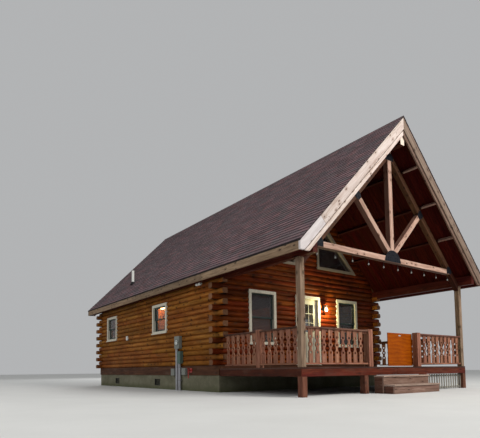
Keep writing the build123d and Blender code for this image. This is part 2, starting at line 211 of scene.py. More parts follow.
def wood_core(t, g, pid, cols, knots=1.0, knot_col=None, streak=22.0, knot_scale=(1.7, 6.0), check=0.0, grime=0.0, ksz=0.105):
    """g: grain coordinates (metres: along, across, depth); pid: value 0..1 per board."""
    if knot_col is None:
        knot_col = tuple(c * 0.40 for c in cols[0])
    off = t.comb(t.math("MULTIPLY", pid, 37.0), t.math("MULTIPLY", pid, 91.0), t.math("MULTIPLY", pid, 53.0))
    g = t.vadd(g, off)
    warp = t.noise(t.vmul(g, (1.1, 5.0, 5.0)), 1.0, 2.0)
    s = t.sep(g)
    kv = t.voro(t.comb(t.math("MULTIPLY", s[0], knot_scale[0]), t.math("MULTIPLY", t.math("ADD", s[1], s[2]), knot_scale[1]), 0.0), 1.0, 0.8, dims="2D")
    kd = kv[0]
    keep = t.math("GREATER_THAN", t.sep(kv[1])[0], 1.0 - 0.36 * knots)
    near = t.math("MULTIPLY", t.maprange(kd, ksz * 0.5, ksz * 2.8, 1.0, 0.0, True), keep)
    core = t.math("MULTIPLY", t.maprange(kd, ksz * 0.55, ksz, 1.0, 0.0, True), keep)
    # streaks bend round the knots
    bend = t.math("ADD", t.math("MULTIPLY", near, 0.10), t.math("MULTIPLY", warp, 0.16))
    gg = t.comb(t.math("MULTIPLY", s[0], 0.9), t.math("MULTIPLY", t.math("ADD", s[1], bend), streak), t.math("MULTIPLY", t.math("ADD", s[2], bend), streak))
    n1 = t.noise(gg, 1.0, 5.0, 0.6)
    fine = t.noise(t.vmul(g, (7.0, 210.0, 210.0)), 1.0, 3.0, 0.6)
    broad = t.noise(t.vmul(g, (0.7, 3.0, 3.0)), 1.0, 2.0)
    col = t.ramp(t.math("ADD", t.math("MULTIPLY", n1, 0.75), t.math("MULTIPLY", fine, 0.25)),
                 [(0.30, cols[0]), (0.50, cols[1]), (0.70, cols[2])])
    v = t.math("ADD", t.math("MULTIPLY", pid, 0.34), t.math("ADD", 0.66, t.math("MULTIPLY", broad, 0.34)))
    col = t.hsv(col, t.math("ADD", 0.492, t.math("MULTIPLY", t.white(off), 0.016)), 1.0, v)
    col = t.mix(t.math("MULTIPLY", near, 0.35), col, cols[0])
    col = t.mix(t.math("MULTIPLY", core, 0.88), col, knot_col)
    h = t.math("ADD", t.math("MULTIPLY", n1, 0.6), t.math("MULTIPLY", fine, 0.4))
    h = t.math("SUBTRACT", h, t.math("MULTIPLY", core, 0.25))
    if check > 0:
        c = t.noise(t.comb(t.math("MULTIPLY", s[0], 0.8), t.math("MULTIPLY", s[1], 9.0), t.math("MULTIPLY", s[2], 9.0)), 1.0, 1.5)
        cut = t.math("LESS_THAN", t.math("ABSOLUTE", t.math("SUBTRACT", c, 0.5)), 0.006)
        ok = t.math("GREATER_THAN", t.noise(t.vmul(g, (0.8, 0.9, 0.9)), 1.0, 1.0), 0.52)
        cut = t.math("MULTIPLY", t.math("MULTIPLY", cut, ok), check)
        col = t.mix(t.math("MULTIPLY", cut, 0.75), col, (0.10, 0.05, 0.03))
        h = t.math("SUBTRACT", h, cut)
    if grime > 0:
        d = t.noise(t.vmul(g, (2.2, 4.0, 4.0)), 1.0, 5.0, 0.65)
        col = t.mix(t.math("MULTIPLY", t.maprange(d, 0.52, 0.72, 0.0, 1.0), grime), col, (0.12, 0.085, 0.06))
    return col, h, fine


def board_mat(name, cols, rough=0.6, bump=0.35, dist=0.0015, spec=0.18, end=None, shade=0.0, shade_col=(0.10, 0.035, 0.021), **kw):
    """Wood for pieces that carry grain coordinates and a board number."""
    t = NT(name)
    g = t.attr("gc")["Vector"]
    pid = t.attr("pid")["Fac"]
    col, h, fine = wood_core(t, g, pid, cols, **kw)
    if shade:
        # painted shade: faces not turned to the front or back are darkened toward shade_col, standing for the shade on
        # the sideways faces
        nn = t.sep(t.normal())
        fc = t.maprange(t.math("ABSOLUTE", nn[1]), 0.55, 0.85, shade, 0.0, True)
        col = t.mix(fc, col, t.mix(0.78, col, shade_col))
    ea = t.attr("endg")["Fac"]
    s = t.sep(g)
    rr = t.math("SQRT", t.math("ADD", t.math("POWER", s[1], 2.0), t.math("POWER", s[2], 2.0)))
    ring = t.math("SINE", t.math("MULTIPLY", t.math("ADD", rr, t.math("MULTIPLY", t.noise(t.vmul(g, (30, 30, 30)), 1.0, 2.0), 0.006)), 900.0))
    ecol = t.mix(t.maprange(ring, -1.0, 1.0, 0.0, 0.8), cols[2] if end is None else end, cols[0])
    col = t.mix(ea, col, ecol)
    r = t.maprange(fine, 0.3, 0.7, rough - 0.07, rough + 0.10)
    return t.bsdf(col, r, normal=t.bump(h, bump, dist), spec=spec)


def cad_wood(name, cols, order, signs=(1, 1, 1), rot=None, rough=0.6, bump=0.35, dist=0.002, cell=(1.0, 1.0), spec=0.15, **kw):
    """Wood for a CAD node, by its own coordinates. order: which axis is along, across, depth."""
    t = NT(name)
    p = t.pos()
    if rot:
        mp = t.node("ShaderNodeMapping")
        mp.inputs["Rotation"].default_value = rot
        t.put(mp.inputs["Vector"], p)
        p = mp.outputs[0]
    s = t.sep(p)
    g = t.comb(s[order[0]], s[order[1]], s[order[2]])
    k = t.comb(t.math("FLOOR", t.math("DIVIDE", s[order[1]], cell[0])), t.math("FLOOR", t.math("DIVIDE", s[order[2]], cell[1])), 3.0)
    pid = t.white(k)
    col, h, fine = wood_core(t, g, pid, cols, **kw)
    return t.bsdf(col, t.maprange(fine, 0.3, 0.7, rough - 0.06, rough + 0.1), normal=t.bump(h, bump, dist), spec=spec)


def log_mat(name, cols, axis, seam_dark=0.75, crown_fade_and_highlight=0.0, crown_fade_and_highlight_cols=None, end_col=(0.50, 0.30, 0.20), rough=0.42, kn=(4.2, 6.54), ksz=0.17, kcol=(0.040, 0.013, 0.005), mott=0.16):
    """Stacked logs: axis is the log direction, 0 = X or 1 = Y."""
    t = NT(name)
    p = t.pos()
    s = t.sep(p)
    along = s[axis]
    across = s[2]
    depth = s[1 - axis]
    zc = t.math("DIVIDE", t.math("SUBTRACT", s[2], DK + 0.09), 0.153)
    k = t.math("FLOOR", zc)
    fr = t.math("SUBTRACT", zc, k)
    kr = t.white(t.comb(k, 5.0, 1.0 + axis))
    seg = t.math("DIVIDE", t.math("ADD", along, t.math("MULTIPLY", kr, 4.7)), 4.3)
    sk = t.math("FLOOR", seg)
    sf = t.math("SUBTRACT", seg, sk)
    pid = t.white(t.comb(k, sk, 2.0 + axis))
    g = t.comb(along, across, depth)
    col, h, fine = wood_core(t, g, pid, cols, knots=1.0, streak=26.0, knot_scale=kn, check=0.9, ksz=ksz, knot_col=kcol)
    if crown_fade_and_highlight_cols is not None:
        col2, _h, _f = wood_core(t, g, pid, crown_fade_and_highlight_cols, knots=1.0, streak=26.0, knot_scale=kn, check=0.9, ksz=ksz, knot_col=kcol)
        # paler patches on the crowns of the logs: partly weathering, partly painted highlight where light catches the
        # rounded tops
        w = t.noise(t.vmul(p, (0.8, 0.8, 2.2)), 1.0, 4.0, 0.6)
        crown = t.maprange(t.math("ABSOLUTE", t.math("SUBTRACT", fr, 0.55)), 0.10, 0.45, 1.0, 0.25, True)
        col = t.mix(t.math("MULTIPLY", t.maprange(w, 0.35, 0.62, 0.25, 1.0, True), t.math("MULTIPLY", crown, crown_fade_and_highlight)), col, col2)
    # dirt and shade in the joint between two courses
    j = t.math("MINIMUM", fr, t.math("SUBTRACT", 1.0, fr))
    seam = t.maprange(j, 0.0, 0.075, 1.0, 0.0, True)
    fine_seam = t.maprange(j, 0.0, 0.022, 1.0, 0.0, True)
    jn = t.noise(t.vmul(p, (3.0, 3.0, 3.0)), 1.0, 3.0)
    col = t.mix(t.math("MULTIPLY", t.math("MULTIPLY", seam, t.maprange(jn, 0.3, 0.7, 0.45, 1.0)), seam_dark), col, (0.055, 0.022, 0.012))
    # uneven stain: darker smudges and paler stretches
    mo = t.noise(t.vmul(p, (1.5, 1.5, 3.6)), 1.0, 4.0, 0.62)
    col = t.hsv(col, 0.5, 1.0, t.maprange(mo, 0.36, 0.64, 1.0 - mott, 1.0 + mott, True))
    col = t.mix(fine_seam, col, (0.02, 0.010, 0.006))
    # butt joints along a course
    bj = t.maprange(t.math("MINIMUM", sf, t.math("SUBTRACT", 1.0, sf)), 0.0, 0.0009, 1.0, 0.0)
    col = t.mix(t.math("MULTIPLY", bj, 0.85), col, (0.03, 0.014, 0.008))
    h = t.math("SUBTRACT", h, t.math("MULTIPLY", t.math("MAXIMUM", fine_seam, bj), 1.5))
    # end grain on the sawn ends
    n = t.sep(t.normal())
    e = t.math("GREATER_THAN", t.math("ABSOLUTE", n[axis]), 0.8)
    cz = t.math("MULTIPLY", t.math("SUBTRACT", fr, 0.5), 0.153)
    dd = t.math("SUBTRACT", t.math("ABSOLUTE", depth), 0.0)
    rr = t.math("SQRT", t.math("ADD", t.math("POWER", cz, 2.0), t.math("POWER", t.math("MULTIPLY", t.math("FRACT", t.math("MULTIPLY", dd, 3.0)), 0.33), 2.0)))
    ring = t.math("SINE", t.math("MULTIPLY", t.math("ADD", rr, t.math("MULTIPLY", t.noise(t.vmul(p, (14, 14, 14)), 1.0, 2.0), 0.02)), 700.0))
    ec = t.mix(t.maprange(ring, -1, 1, 0.0, 0.55), end_col, tuple(c * 0.55 for c in end_col))
    crack = t.maprange(t.voro(t.vmul(p, (9, 9, 9)), 1.0, 1.0, "DISTANCE_TO_EDGE")[0], 0.0, 0.05, 1.0, 0.0)
    ec = t.mix(t.math("MULTIPLY", crack, 0.35), ec, (0.10, 0.05, 0.03))
    ec = t.hsv(ec, 0.5, 1.0, t.maprange(pid, 0.0, 1.0, 0.62, 1.15))
    ec = t.mix(fine_seam, ec, (0.03, 0.015, 0.01))
    col = t.mix(e, col, ec)
    r = t.maprange(fine, 0.3, 0.7, rough - 0.06, rough + 0.14)
    return t.bsdf(col, r, normal=t.bump(h, 0.45, 0.003), spec=0.07)


# ------------------------------------------------------------------ mesh builder
class MB:
    """Collects closed solids into one mesh, with a grain coordinate, a number and an end-grain mark."""

    def __init__(self, name, mats):
        self.name, self.mats = name, mats
        self.v, self.f, self.g, self.p, self.mi, self.e = [], [], [], [], [], []
        self.smooth = []

    def add(self, verts, faces, along=None, up_=None, origin=None, mat=0, pid=None, smooth=False, row=False):
        """verts in building axes. along/up_: unit vectors of the grain."""
        o = len(self.v)
        pid = R.random() if pid is None else pid
        along = Vector(along or (1, 0, 0)).normalized()
        up_ = Vector(up_ or ((0, 0, 1) if abs(along.z) < 0.9 else (1, 0, 0)))
        third = along.cross(up_).normalized()
        up_ = third.cross(along)
        c = Vector(origin) if origin is not None else sum((Vector(q) for q in verts), Vector()) / len(verts)
        for q in verts:
            d = Vector(q) - c
            self.g.append((d.dot(along), d.dot(up_), d.dot(third)))
            self.v.append(P(*q) if not row else tuple(q))
            self.p.append(pid)
        for f in faces:
            self.f.append([i + o for i in f])
            self.mi.append(mat)
            self.smooth.append(smooth)
            a = [Vector(verts[i]) for i in f]
            n = (a[1] - a[0]).cross(a[2] - a[0])
            if n.length < 1e-12 and len(a) > 3:
                n = (a[2] - a[0]).cross(a[3] - a[0])
            n = n.normalized() if n.length > 0 else n
            self.e.append(1.0 if abs(n.dot(along)) > 0.8 else 0.0)

    def box(self, x0, x1, y0, y1, z0, z1, along=(1, 0, 0), **kw):
        x0, x1 = sorted((x0, x1)); y0, y1 = sorted((y0, y1)); z0, z1 = sorted((z0, z1))
        v = [(x0, y0, z0), (x1, y0, z0), (x1, y1, z0), (x0, y1, z0), (x0, y0, z1), (x1, y0, z1), (x1, y1, z1), (x0, y1, z1)]
        f = [(0, 3, 2, 1), (4, 5, 6, 7), (0, 1, 5, 4), (1, 2, 6, 5), (2, 3, 7, 6), (3, 0, 4, 7)]
        self.add(v, f, along=along, **kw)

    def prism(self, pts, d, a0, a1, along, **kw):
        """pts: 2D polygon; d: 'y' for (x, z) polygons, 'x' for (y, z), 'z' for (x, y)."""
        area = sum(pts[i][0] * pts[(i + 1) % len(pts)][1] - pts[(i + 1) % len(pts)][0] * pts[i][1] for i in range(len(pts)))
        if area < 0:
            pts = list(reversed(pts))
        n = len(pts)
        if d == "y":
            A = [(x, a0, z) for x, z in pts]; Bv = [(x, a1, z) for x, z in pts]
            front, back = list(range(n)), list(range(2 * n - 1, n - 1, -1))
            side = [(i, i + n, (i + 1) % n + n, (i + 1) % n) for i in range(n)]
        elif d == "x":
            A = [(a0, y, z) for y, z in pts]; Bv = [(a1, y, z) for y, z in pts]
            front, back = list(reversed(range(n))), list(range(n, 2 * n))
            side = [((i + 1) % n, (i + 1) % n + n, i + n, i) for i in range(n)]
        else:
            A = [(x, y, a0) for x, y in pts]; Bv = [(x, y, a1) for x, y in pts]
            front, back = list(reversed(range(n))), list(range(n, 2 * n))
            side = [((i + 1) % n, (i + 1) % n + n, i + n, i) for i in range(n)]
        self.add(A + Bv, [front, back] + side, along=along, **kw)

    def tube(self, p0, p1, r0, r1=None, n=16, caps=True, **kw):
        r1 = r0 if r1 is None else r1
        p0, p1 = Vector(p0), Vector(p1)
        ax = (p1 - p0).normalized()
        a = ax.orthogonal().normalized(); b = ax.cross(a)
        v = []
        for c, r in ((p0, r0), (p1, r1)):
            for i in range(n):
                t = 2 * math.pi * i / n
                v.append(tuple(c + a * math.cos(t) * r + b * math.sin(t) * r))
        f = [(i, (i + 1) % n, (i + 1) % n + n, i + n) for i in range(n)]
        kw.setdefault("smooth", True)
        sm = kw.pop("smooth")
        caps_f = [list(reversed(range(n))), list(range(n, 2 * n))] if caps else []
        self.add(v, f + caps_f, along=tuple(ax), smooth=False, **kw)
        if sm:
            for k in range(len(f)):
                self.smooth[len(self.smooth) - len(caps_f) - len(f) + k] = True

    def lathe(self, base, axis, prof, n=20, **kw):
        """prof: (distance along axis, radius) from one end to the other."""
        base = Vector(base); ax = Vector(axis).normalized()
        a = ax.orthogonal().normalized(); b = ax.cross(a)
        v, f = [], []
        for d, r in prof:
            for i in range(n):
                t = 2 * math.pi * i / n
                v.append(tuple(base + ax * d + (a * math.cos(t) + b * math.sin(t)) * max(r, 1e-4)))
        m = len(prof)
        for k in range(m - 1):
            for i in range(n):
                f.append((k * n + i, k * n + (i + 1) % n, (k + 1) * n + (i + 1) % n, (k + 1) * n + i))
        caps = [list(reversed(range(n))), [(m - 1) * n + i for i in range(n)]]
        self.add(v, f + caps, along=tuple(ax), **kw)
        for k in range(len(f)):
            self.smooth[len(self.smooth) - 2 - len(f) + k] = True

    def done(self, body="cabin", replaces=(), slot=None, bevel=0.0, segs=1):
        me = bpy.data.meshes.new(self.name)
        me.from_pydata(self.v, [], self.f)
        me.polygons.foreach_set("material_index", self.mi)
        me.polygons.foreach_set("use_smooth", self.smooth)
        a = me.attributes.new("gc", "FLOAT_VECTOR", "POINT")
        a.data.foreach_set("vector", np.array(self.g, dtype=np.float32).ravel())
        a = me.attributes.new("pid", "FLOAT", "POINT")
        a.data.foreach_set("value", np.array(self.p, dtype=np.float32))
        a = me.attributes.new("endg", "FLOAT", "FACE")
        a.data.foreach_set("value", np.array(self.e, dtype=np.float32))
        me.update()
        o = bpy.data.objects.new(self.name, me)
        bpy.context.scene.collection.objects.link(o)
        for m in (self.mats if isinstance(self.mats, (list, tuple)) else [self.mats]):
            me.materials.append(m)
        if bevel > 0:
            b = o.modifiers.new("edge", "BEVEL")
            b.width = bevel; b.segments = segs; b.limit_method = "ANGLE"; b.angle_limit = math.radians(40)
            b.harden_normals = False
        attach(o, body)
        if replaces:
            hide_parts(*replaces)
        return o


def paint(node, *mats):
    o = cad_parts[node]
    if len(o.material_slots) == 0:
        o.data.materials.append(None)
    for i, s in enumerate(o.material_slots):
        s.link = "OBJECT"
        s.material = mats[min(i, len(mats) - 1)]


# ------------------------------------------------------------------ materials
RAKE = ((0.33, 0.22, 0.165), (0.58, 0.475, 0.425), (0.70, 0.62, 0.57))
RAKE_W = ((0.42, 0.37, 0.355), (0.575, 0.525, 0.515), (0.65, 0.61, 0.60))
PINE = ((0.16, 0.078, 0.050), (0.42, 0.262, 0.195), (0.58, 0.41, 0.32))
POSTC = ((0.075, 0.042, 0.024), (0.215, 0.145, 0.092), (0.36, 0.265, 0.185))
FASC = ((0.086, 0.052, 0.030), (0.205, 0.136, 0.083), (0.31, 0.218, 0.140))
# soffit colours: partly dark stain, partly painted shade under the eaves
SOFFIT_SHADE = ((0.014, 0.0010, 0.0005), (0.038, 0.0034, 0.0015), (0.076, 0.0100, 0.0042))
STAIN = ((0.032, 0.0042, 0.0020), (0.088, 0.0132, 0.0056), (0.150, 0.031, 0.0140))
RAILC = ((0.055, 0.0160, 0.0090), (0.255, 0.104, 0.060), (0.49, 0.250, 0.160))
FEETC = ((0.050, 0.0135, 0.0074), (0.148, 0.051, 0.0285), (0.27, 0.120, 0.075))
STEPC = ((0.105, 0.055, 0.040), (0.225, 0.132, 0.098), (0.33, 0.22, 0.17))

m_rake = board_mat("pine_rake_boards", RAKE, rough=0.66, check=0.6, knots=1.0, knot_scale=(4.4, 8.5), ksz=0.19, streak=16.0, end=(0.66, 0.50, 0.40))
m_rake_r = board_mat("pine_rake_boards_shaded", ((0.075, 0.044, 0.028), (0.170, 0.117, 0.086), (0.26, 0.195, 0.152)), rough=0.68, check=0.6, knots=1.0, knot_scale=(4.4, 8.5), ksz=0.19, streak=16.0, end=(0.5, 0.38, 0.30))
m_rake_trim_shaded = board_mat("pine_rake_trim_shaded", ((0.055, 0.026, 0.017), (0.140, 0.083, 0.058), (0.24, 0.160, 0.118)), rough=0.70, check=0.5, knots=1.0, knot_scale=(4.4, 8.5), ksz=0.19, streak=18.0)
# dark brown top chords: partly weathering, partly painted shade under the roof
m_chord_shaded = board_mat("truss_chord_timber_shaded", ((0.028, 0.0080, 0.0034), (0.074, 0.0265, 0.0118), (0.140, 0.060, 0.033)), rough=0.68, check=1.0, knots=1.0, knot_scale=(4.4, 8.5), ksz=0.19, streak=20.0)
# near-black wood for the purlin blocks and the top-chord tails: partly stain, partly painted shade
m_block_shaded = board_mat("purlin_blocks_shaded", ((0.0130, 0.0022, 0.0010), (0.0330, 0.0062, 0.0028), (0.0620, 0.0150, 0.0075)), rough=0.68, knots=0.5, spec=0.12)
m_pine = board_mat("pine_timber", PINE, rough=0.66, check=1.0, knots=1.0, knot_scale=(4.4, 8.5), ksz=0.19, streak=20.0, end=(0.60, 0.42, 0.30), shade=1.0)
m_post = board_mat("weathered_posts", POSTC, rough=0.72, check=1.0, knots=0.85, knot_scale=(2.9, 6.1), ksz=0.15, streak=24.0, grime=0.35, end=(0.50, 0.36, 0.24), shade=0.35, shade_col=(0.085, 0.052, 0.030))
m_pinew = board_mat("pine_new_board", RAKE_W, rough=0.66, check=0.2, knots=0.9, knot_scale=(4.4, 8.5), ksz=0.19, streak=14.0)
# fascia wood kept dark: partly grime, partly painted shade
m_fasc = board_mat("fascia_wood", FASC, rough=0.72, check=0.4, knots=0.9, grime=0.35, knot_scale=(4.4, 8.5), ksz=0.19)
m_soff = board_mat("soffit_wood_shaded", SOFFIT_SHADE, rough=0.70, knots=0.8, knot_scale=(1.2, 9.0), streak=30.0, spec=0.05)
m_stain = board_mat("stained_wood", STAIN, rough=0.58, knots=0.5, knot_scale=(1.4, 8.0), grime=0.25, spec=0.12)
m_rail = board_mat("railing_wood", RAILC, rough=0.62, knots=0.6, knot_scale=(2.0, 10.0), streak=30.0, grime=0.15, shade=0.50, shade_col=(0.080, 0.025, 0.013))
m_tread = board_mat("weathered_treads", ((0.17, 0.108, 0.084), (0.35, 0.245, 0.195), (0.46, 0.345, 0.285)), rough=0.8, knots=0.6, check=0.8, grime=0.30, knot_scale=(1.6, 8.0), spec=0.12)
# darker copy of the stained wood for the side rims: painted shade on the sideways faces
m_stain_side_shaded = board_mat("stained_wood_side_shaded", tuple(tuple(c * 0.55 for c in k) for k in STAIN), rough=0.58, knots=0.5, knot_scale=(1.4, 8.0), grime=0.25, spec=0.12)
m_post_r = board_mat("weathered_post_shaded", tuple(tuple(c * 1.0 for c in k) for k in POSTC), rough=0.72, check=1.0, knots=0.85, knot_scale=(2.9, 6.1), ksz=0.15, streak=24.0, grime=0.35, end=(0.50, 0.36, 0.24), shade=0.35, shade_col=(0.085, 0.052, 0.030))
# lighter copy of the cap wood for the front railing: painted light on the lit front; the side caps and deck planks keep
# the darker cap wood
m_cap_lit = board_mat("railing_cap_wood_lit", ((0.045, 0.0150, 0.0095), (0.140, 0.056, 0.037), (0.26, 0.130, 0.092)), rough=0.62, knots=0.6, knot_scale=(2.0, 10.0), streak=30.0, grime=0.25)
m_cap = board_mat("railing_cap_wood", ((0.018, 0.0055, 0.0035), (0.048, 0.0175, 0.0108), (0.100, 0.045, 0.030)), rough=0.62, knots=0.6, knot_scale=(2.0, 10.0), streak=30.0, grime=0.25)
# dark wood for the stair sides: painted shade on the side faces
m_cheek_shaded = board_mat("stair_cheek_wood_shaded", ((0.045, 0.017, 0.011), (0.110, 0.050, 0.034), (0.19, 0.105, 0.075)), rough=0.8, knots=0.6, check=0.6, grime=0.40, knot_scale=(1.6, 8.0), spec=0.12)
m_feet = board_mat("deck_post_wood", FEETC, rough=0.66, knots=1.0, knot_scale=(4.4, 8.5), ksz=0.19, streak=26.0, grime=0.30, shade=0.60, shade_col=(0.060, 0.018, 0.010))
m_step = board_mat("weathered_steps", STEPC, rough=0.8, knots=0.6, check=0.8, grime=0.40, knot_scale=(1.6, 8.0), spec=0.12)
m_skirt = board_mat("weathered_pickets", ((0.11, 0.10, 0.085), (0.26, 0.245, 0.21), (0.36, 0.34, 0.30)), rough=0.8, knots=0.5, grime=0.35, spec=0.12)
m_beam = cad_wood("beam_stain", ((0.018, 0.0016, 0.0006), (0.050, 0.0054, 0.0020), (0.096, 0.0150, 0.0056)), (1, 2, 0), cell=(0.17, 9.0), knots=0.8, check=0.6, knot_scale=(1.3, 7.0))
m_sill_y = cad_wood("sill_stain_sides", ((0.022, 0.0070, 0.0036), (0.058, 0.0185, 0.0085), (0.102, 0.038, 0.0190)), (1, 2, 0), cell=(9.0, 9.0), knots=0.5, grime=0.45, knot_scale=(1.2, 8.0), rough=0.66)
m_sill_x = cad_wood("sill_stain_ends", ((0.022, 0.0060, 0.0034), (0.055, 0.0165, 0.0078), (0.095, 0.034, 0.0170)), (0, 2, 1), cell=(9.0, 9.0), knots=0.5, grime=0.45, knot_scale=(1.2, 8.0), rough=0.66)
m_floor = cad_wood("floor_boards", ((0.16, 0.075, 0.035), (0.30, 0.16, 0.08), (0.38, 0.22, 0.12)), (1, 0, 2), cell=(0.13, 9.0), knots=0.5)


def purlin_mat():
    """Near-black inside the porch, plain pine where the timbers run out past the truss: the dark inside is painted
    shade under the roof.
    """
    t = NT("purlin_wood_shaded_inside")
    p = t.pos()
    s = t.sep(p)
    g = t.comb(s[1], s[2], s[0])
    pid = t.white(t.comb(t.math("FLOOR", t.math("MULTIPLY", s[2], 2.0)), t.math("SIGN", s[0]), 1.0))
    a, h, fine = wood_core(t, g, pid, ((0.022, 0.004, 0.002), (0.055, 0.012, 0.007), (0.10, 0.026, 0.014)), knots=0.8, knot_scale=(1.3, 7.0))
    b, _h, _f = wood_core(t, g, pid, PINE, knots=0.8, knot_scale=(1.6, 7.0))
    # mask: painted shade inside the porch, plain pine past the truss
    w = t.maprange(t.math("ADD", s[1], t.math("MULTIPLY", t.noise(p, 14.0, 2.0), 0.06)), -6.10, -6.03, 0.80, 0.0, True)
    col = t.mix(w, a, b)
    return t.bsdf(col, t.maprange(fine, 0.3, 0.7, 0.6, 0.76), normal=t.bump(h, 0.35, 0.002), spec=0.12)


def ridge_mat():
    t = NT("ridge_beam_wood")
    p = t.pos()
    s = t.sep(p)
    g = t.comb(s[1], s[2], s[0])
    a, h, fine = wood_core(t, g, 0.5, ((0.022, 0.004, 0.002), (0.060, 0.013, 0.008), (0.11, 0.028, 0.015)), knots=0.8, knot_scale=(1.3, 7.0))
    e = t.math("GREATER_THAN", t.math("ABSOLUTE", t.sep(t.normal())[1]), 0.8)
    rr = t.math("SQRT", t.math("ADD", t.math("POWER", s[0], 2.0), t.math("POWER", t.math("SUBTRACT", s[2], 6.62), 2.0)))
    ring = t.math("SINE", t.math("MULTIPLY", t.math("ADD", rr, t.math("MULTIPLY", t.noise(p, 14.0, 2.0), 0.01)), 500.0))
    ec = t.mix(t.maprange(ring, -1, 1, 0.0, 0.5), (0.78, 0.66, 0.56), (0.50, 0.36, 0.27))
    return t.bsdf(t.mix(e, a, ec), t.maprange(fine, 0.3, 0.7, 0.6, 0.76), normal=t.bump(h, 0.3, 0.002), spec=0.15)


m_purl = purlin_mat()
m_ridge = ridge_mat()

# the front-wall logs under the porch are darker and redder than the side logs: partly painted shade of the porch roof
FRONT_SHADED_COLS = ((0.045, 0.0060, 0.0008), (0.112, 0.0180, 0.0018), (0.190, 0.042, 0.0048))
SIDEC = ((0.078, 0.0190, 0.0022), (0.172, 0.0470, 0.0050), (0.26, 0.088, 0.0120))
SIDE_FADE_AND_HIGHLIGHT = ((0.150, 0.055, 0.0090), (0.275, 0.115, 0.0210), (0.37, 0.180, 0.0430))
ENDC = (0.20, 0.094, 0.048)
m_log_f = log_mat("logs_front_shaded", FRONT_SHADED_COLS, 0, seam_dark=0.22, end_col=ENDC, rough=0.52, kn=(2.9, 6.54), ksz=0.18, kcol=(0.030, 0.006, 0.002), mott=0.32)
m_log_s = log_mat("logs_side", SIDEC, 1, seam_dark=0.30, crown_fade_and_highlight=0.75, crown_fade_and_highlight_cols=SIDE_FADE_AND_HIGHLIGHT, end_col=ENDC, rough=0.60)
m_log_b = log_mat("logs_back", SIDEC, 0, seam_dark=0.30, crown_fade_and_highlight=0.6, crown_fade_and_highlight_cols=SIDE_FADE_AND_HIGHLIGHT, end_col=ENDC, rough=0.60)


def concrete():
    t = NT("concrete")
    p = t.pos()
    a = t.noise(p, 1.3, 6.0, 0.65)
    b = t.noise(p, 14.0, 5.0, 0.7)
    c = t.noise(t.vmul(p, (3.0, 3.0, 0.6)), 1.0, 3.0)
    col = t.ramp(t.math("ADD", t.math("MULTIPLY", a, 0.7), t.math("MULTIPLY", b, 0.3)), [(0.3, (0.075, 0.071, 0.043)), (0.5, (0.142, 0.134, 0.088)), (0.7, (0.215, 0.204, 0.145))])
    s = t.sep(p)
    low = t.maprange(t.math("ADD", s[2], t.math("MULTIPLY", c, 0.18)), 0.10, 0.30, 0.75, 0.0, True)
    col = t.mix(low, col, (0.075, 0.080, 0.038))
    pits = t.maprange(t.voro(p, 55.0)[0], 0.0, 0.16, 1.0, 0.0, True)
    h = t.math("SUBTRACT", t.math("ADD", t.math("MULTIPLY", b, 0.7), t.math("MULTIPLY", t.noise(p, 70.0, 3.0), 0.3)), t.math("MULTIPLY", pits, 0.4))
    return t.bsdf(col, t.maprange(b, 0.3, 0.7, 0.82, 0.96), normal=t.bump(h, 0.5, 0.004), spec=0.2)


def shingle():
    t = NT("asphalt_shingles")
    p = t.pos()
    pid = t.attr("pid")["Fac"]
    gr = t.noise(p, 260.0, 2.0, 0.7)
    blot = t.noise(t.vmul(p, (1.0, 1.0, 1.0)), 2.6, 5.0, 0.65)
    big = t.noise(p, 0.55, 3.0, 0.6)
    base = t.ramp(gr, [(0.28, (0.034, 0.022, 0.026)), (0.50, (0.104, 0.072, 0.080)), (0.66, (0.215, 0.160, 0.172)), (0.80, (0.36, 0.285, 0.30))])
    red = t.mix(t.maprange(blot, 0.46, 0.66, 0.0, 0.60, True), base, t.mix(0.5, base, (0.185, 0.070, 0.062)))
    # some tabs are redder and some greyer than their neighbours
    hp = t.math("FRACT", t.math("MULTIPLY", pid, 7.31))
    red = t.mix(t.maprange(hp, 0.55, 1.0, 0.0, 0.60, True), red, t.mix(0.50, red, (0.255, 0.125, 0.128)))
    red = t.mix(t.maprange(hp, 0.45, 0.0, 0.0, 0.55, True), red, t.mix(0.5, red, (0.078, 0.090, 0.084)))
    col = t.hsv(red, 0.5, 1.0, t.math("ADD", 0.82, t.math("ADD", t.math("MULTIPLY", pid, 0.36), t.math("MULTIPLY", big, 0.32))))
    # painted shadow lines of each course: a dark band at the butt edge and a darker upper part just under the butt of
    # the next course
    u = t.sep(t.attr("gc")["Vector"])[1]
    butt = t.maprange(u, -0.047, -0.036, 1.0, 0.0, True)
    lap = t.maprange(u, 0.024, 0.043, 0.0, 1.0, True)
    col = t.mix(t.math("MULTIPLY", butt, 0.85), col, (0.020, 0.013, 0.015))
    col = t.mix(t.math("MULTIPLY", lap, 0.45), col, (0.030, 0.020, 0.022))
    h = t.math("ADD", t.math("MULTIPLY", gr, 0.6), t.math("MULTIPLY", t.noise(p, 40.0, 3.0), 0.4))
    return t.bsdf(col, 0.93, normal=t.bump(h, 0.6, 0.0025), spec=0.15)


def paintm(name, col, rough=0.45, metal=0.0, vary=0.10, bump=0.15, scale=30.0, dirt=0.25, dirtcol=(0.12, 0.10, 0.08), spec=0.45, **kw):
    t = NT(name)
    p = t.pos()
    n = t.noise(p, scale, 4.0, 0.6)
    n2 = t.noise(t.vmul(p, (1.6, 1.6, 0.8)), 2.0, 5.0, 0.65)
    c = t.hsv(t.mix(t.maprange(n, 0.3, 0.7, 0.0, 1.0), tuple(x * (1 - vary) for x in col), tuple(min(1, x * (1 + vary)) for x in col)), 0.5, 1.0, 1.0)
    c = t.mix(t.maprange(n2, 0.52, 0.75, 0.0, dirt, True), c, dirtcol)
    return t.bsdf(c, t.maprange(n2, 0.3, 0.7, rough - 0.06, rough + 0.12), metal, normal=t.bump(n, bump, 0.001), spec=spec, **kw)


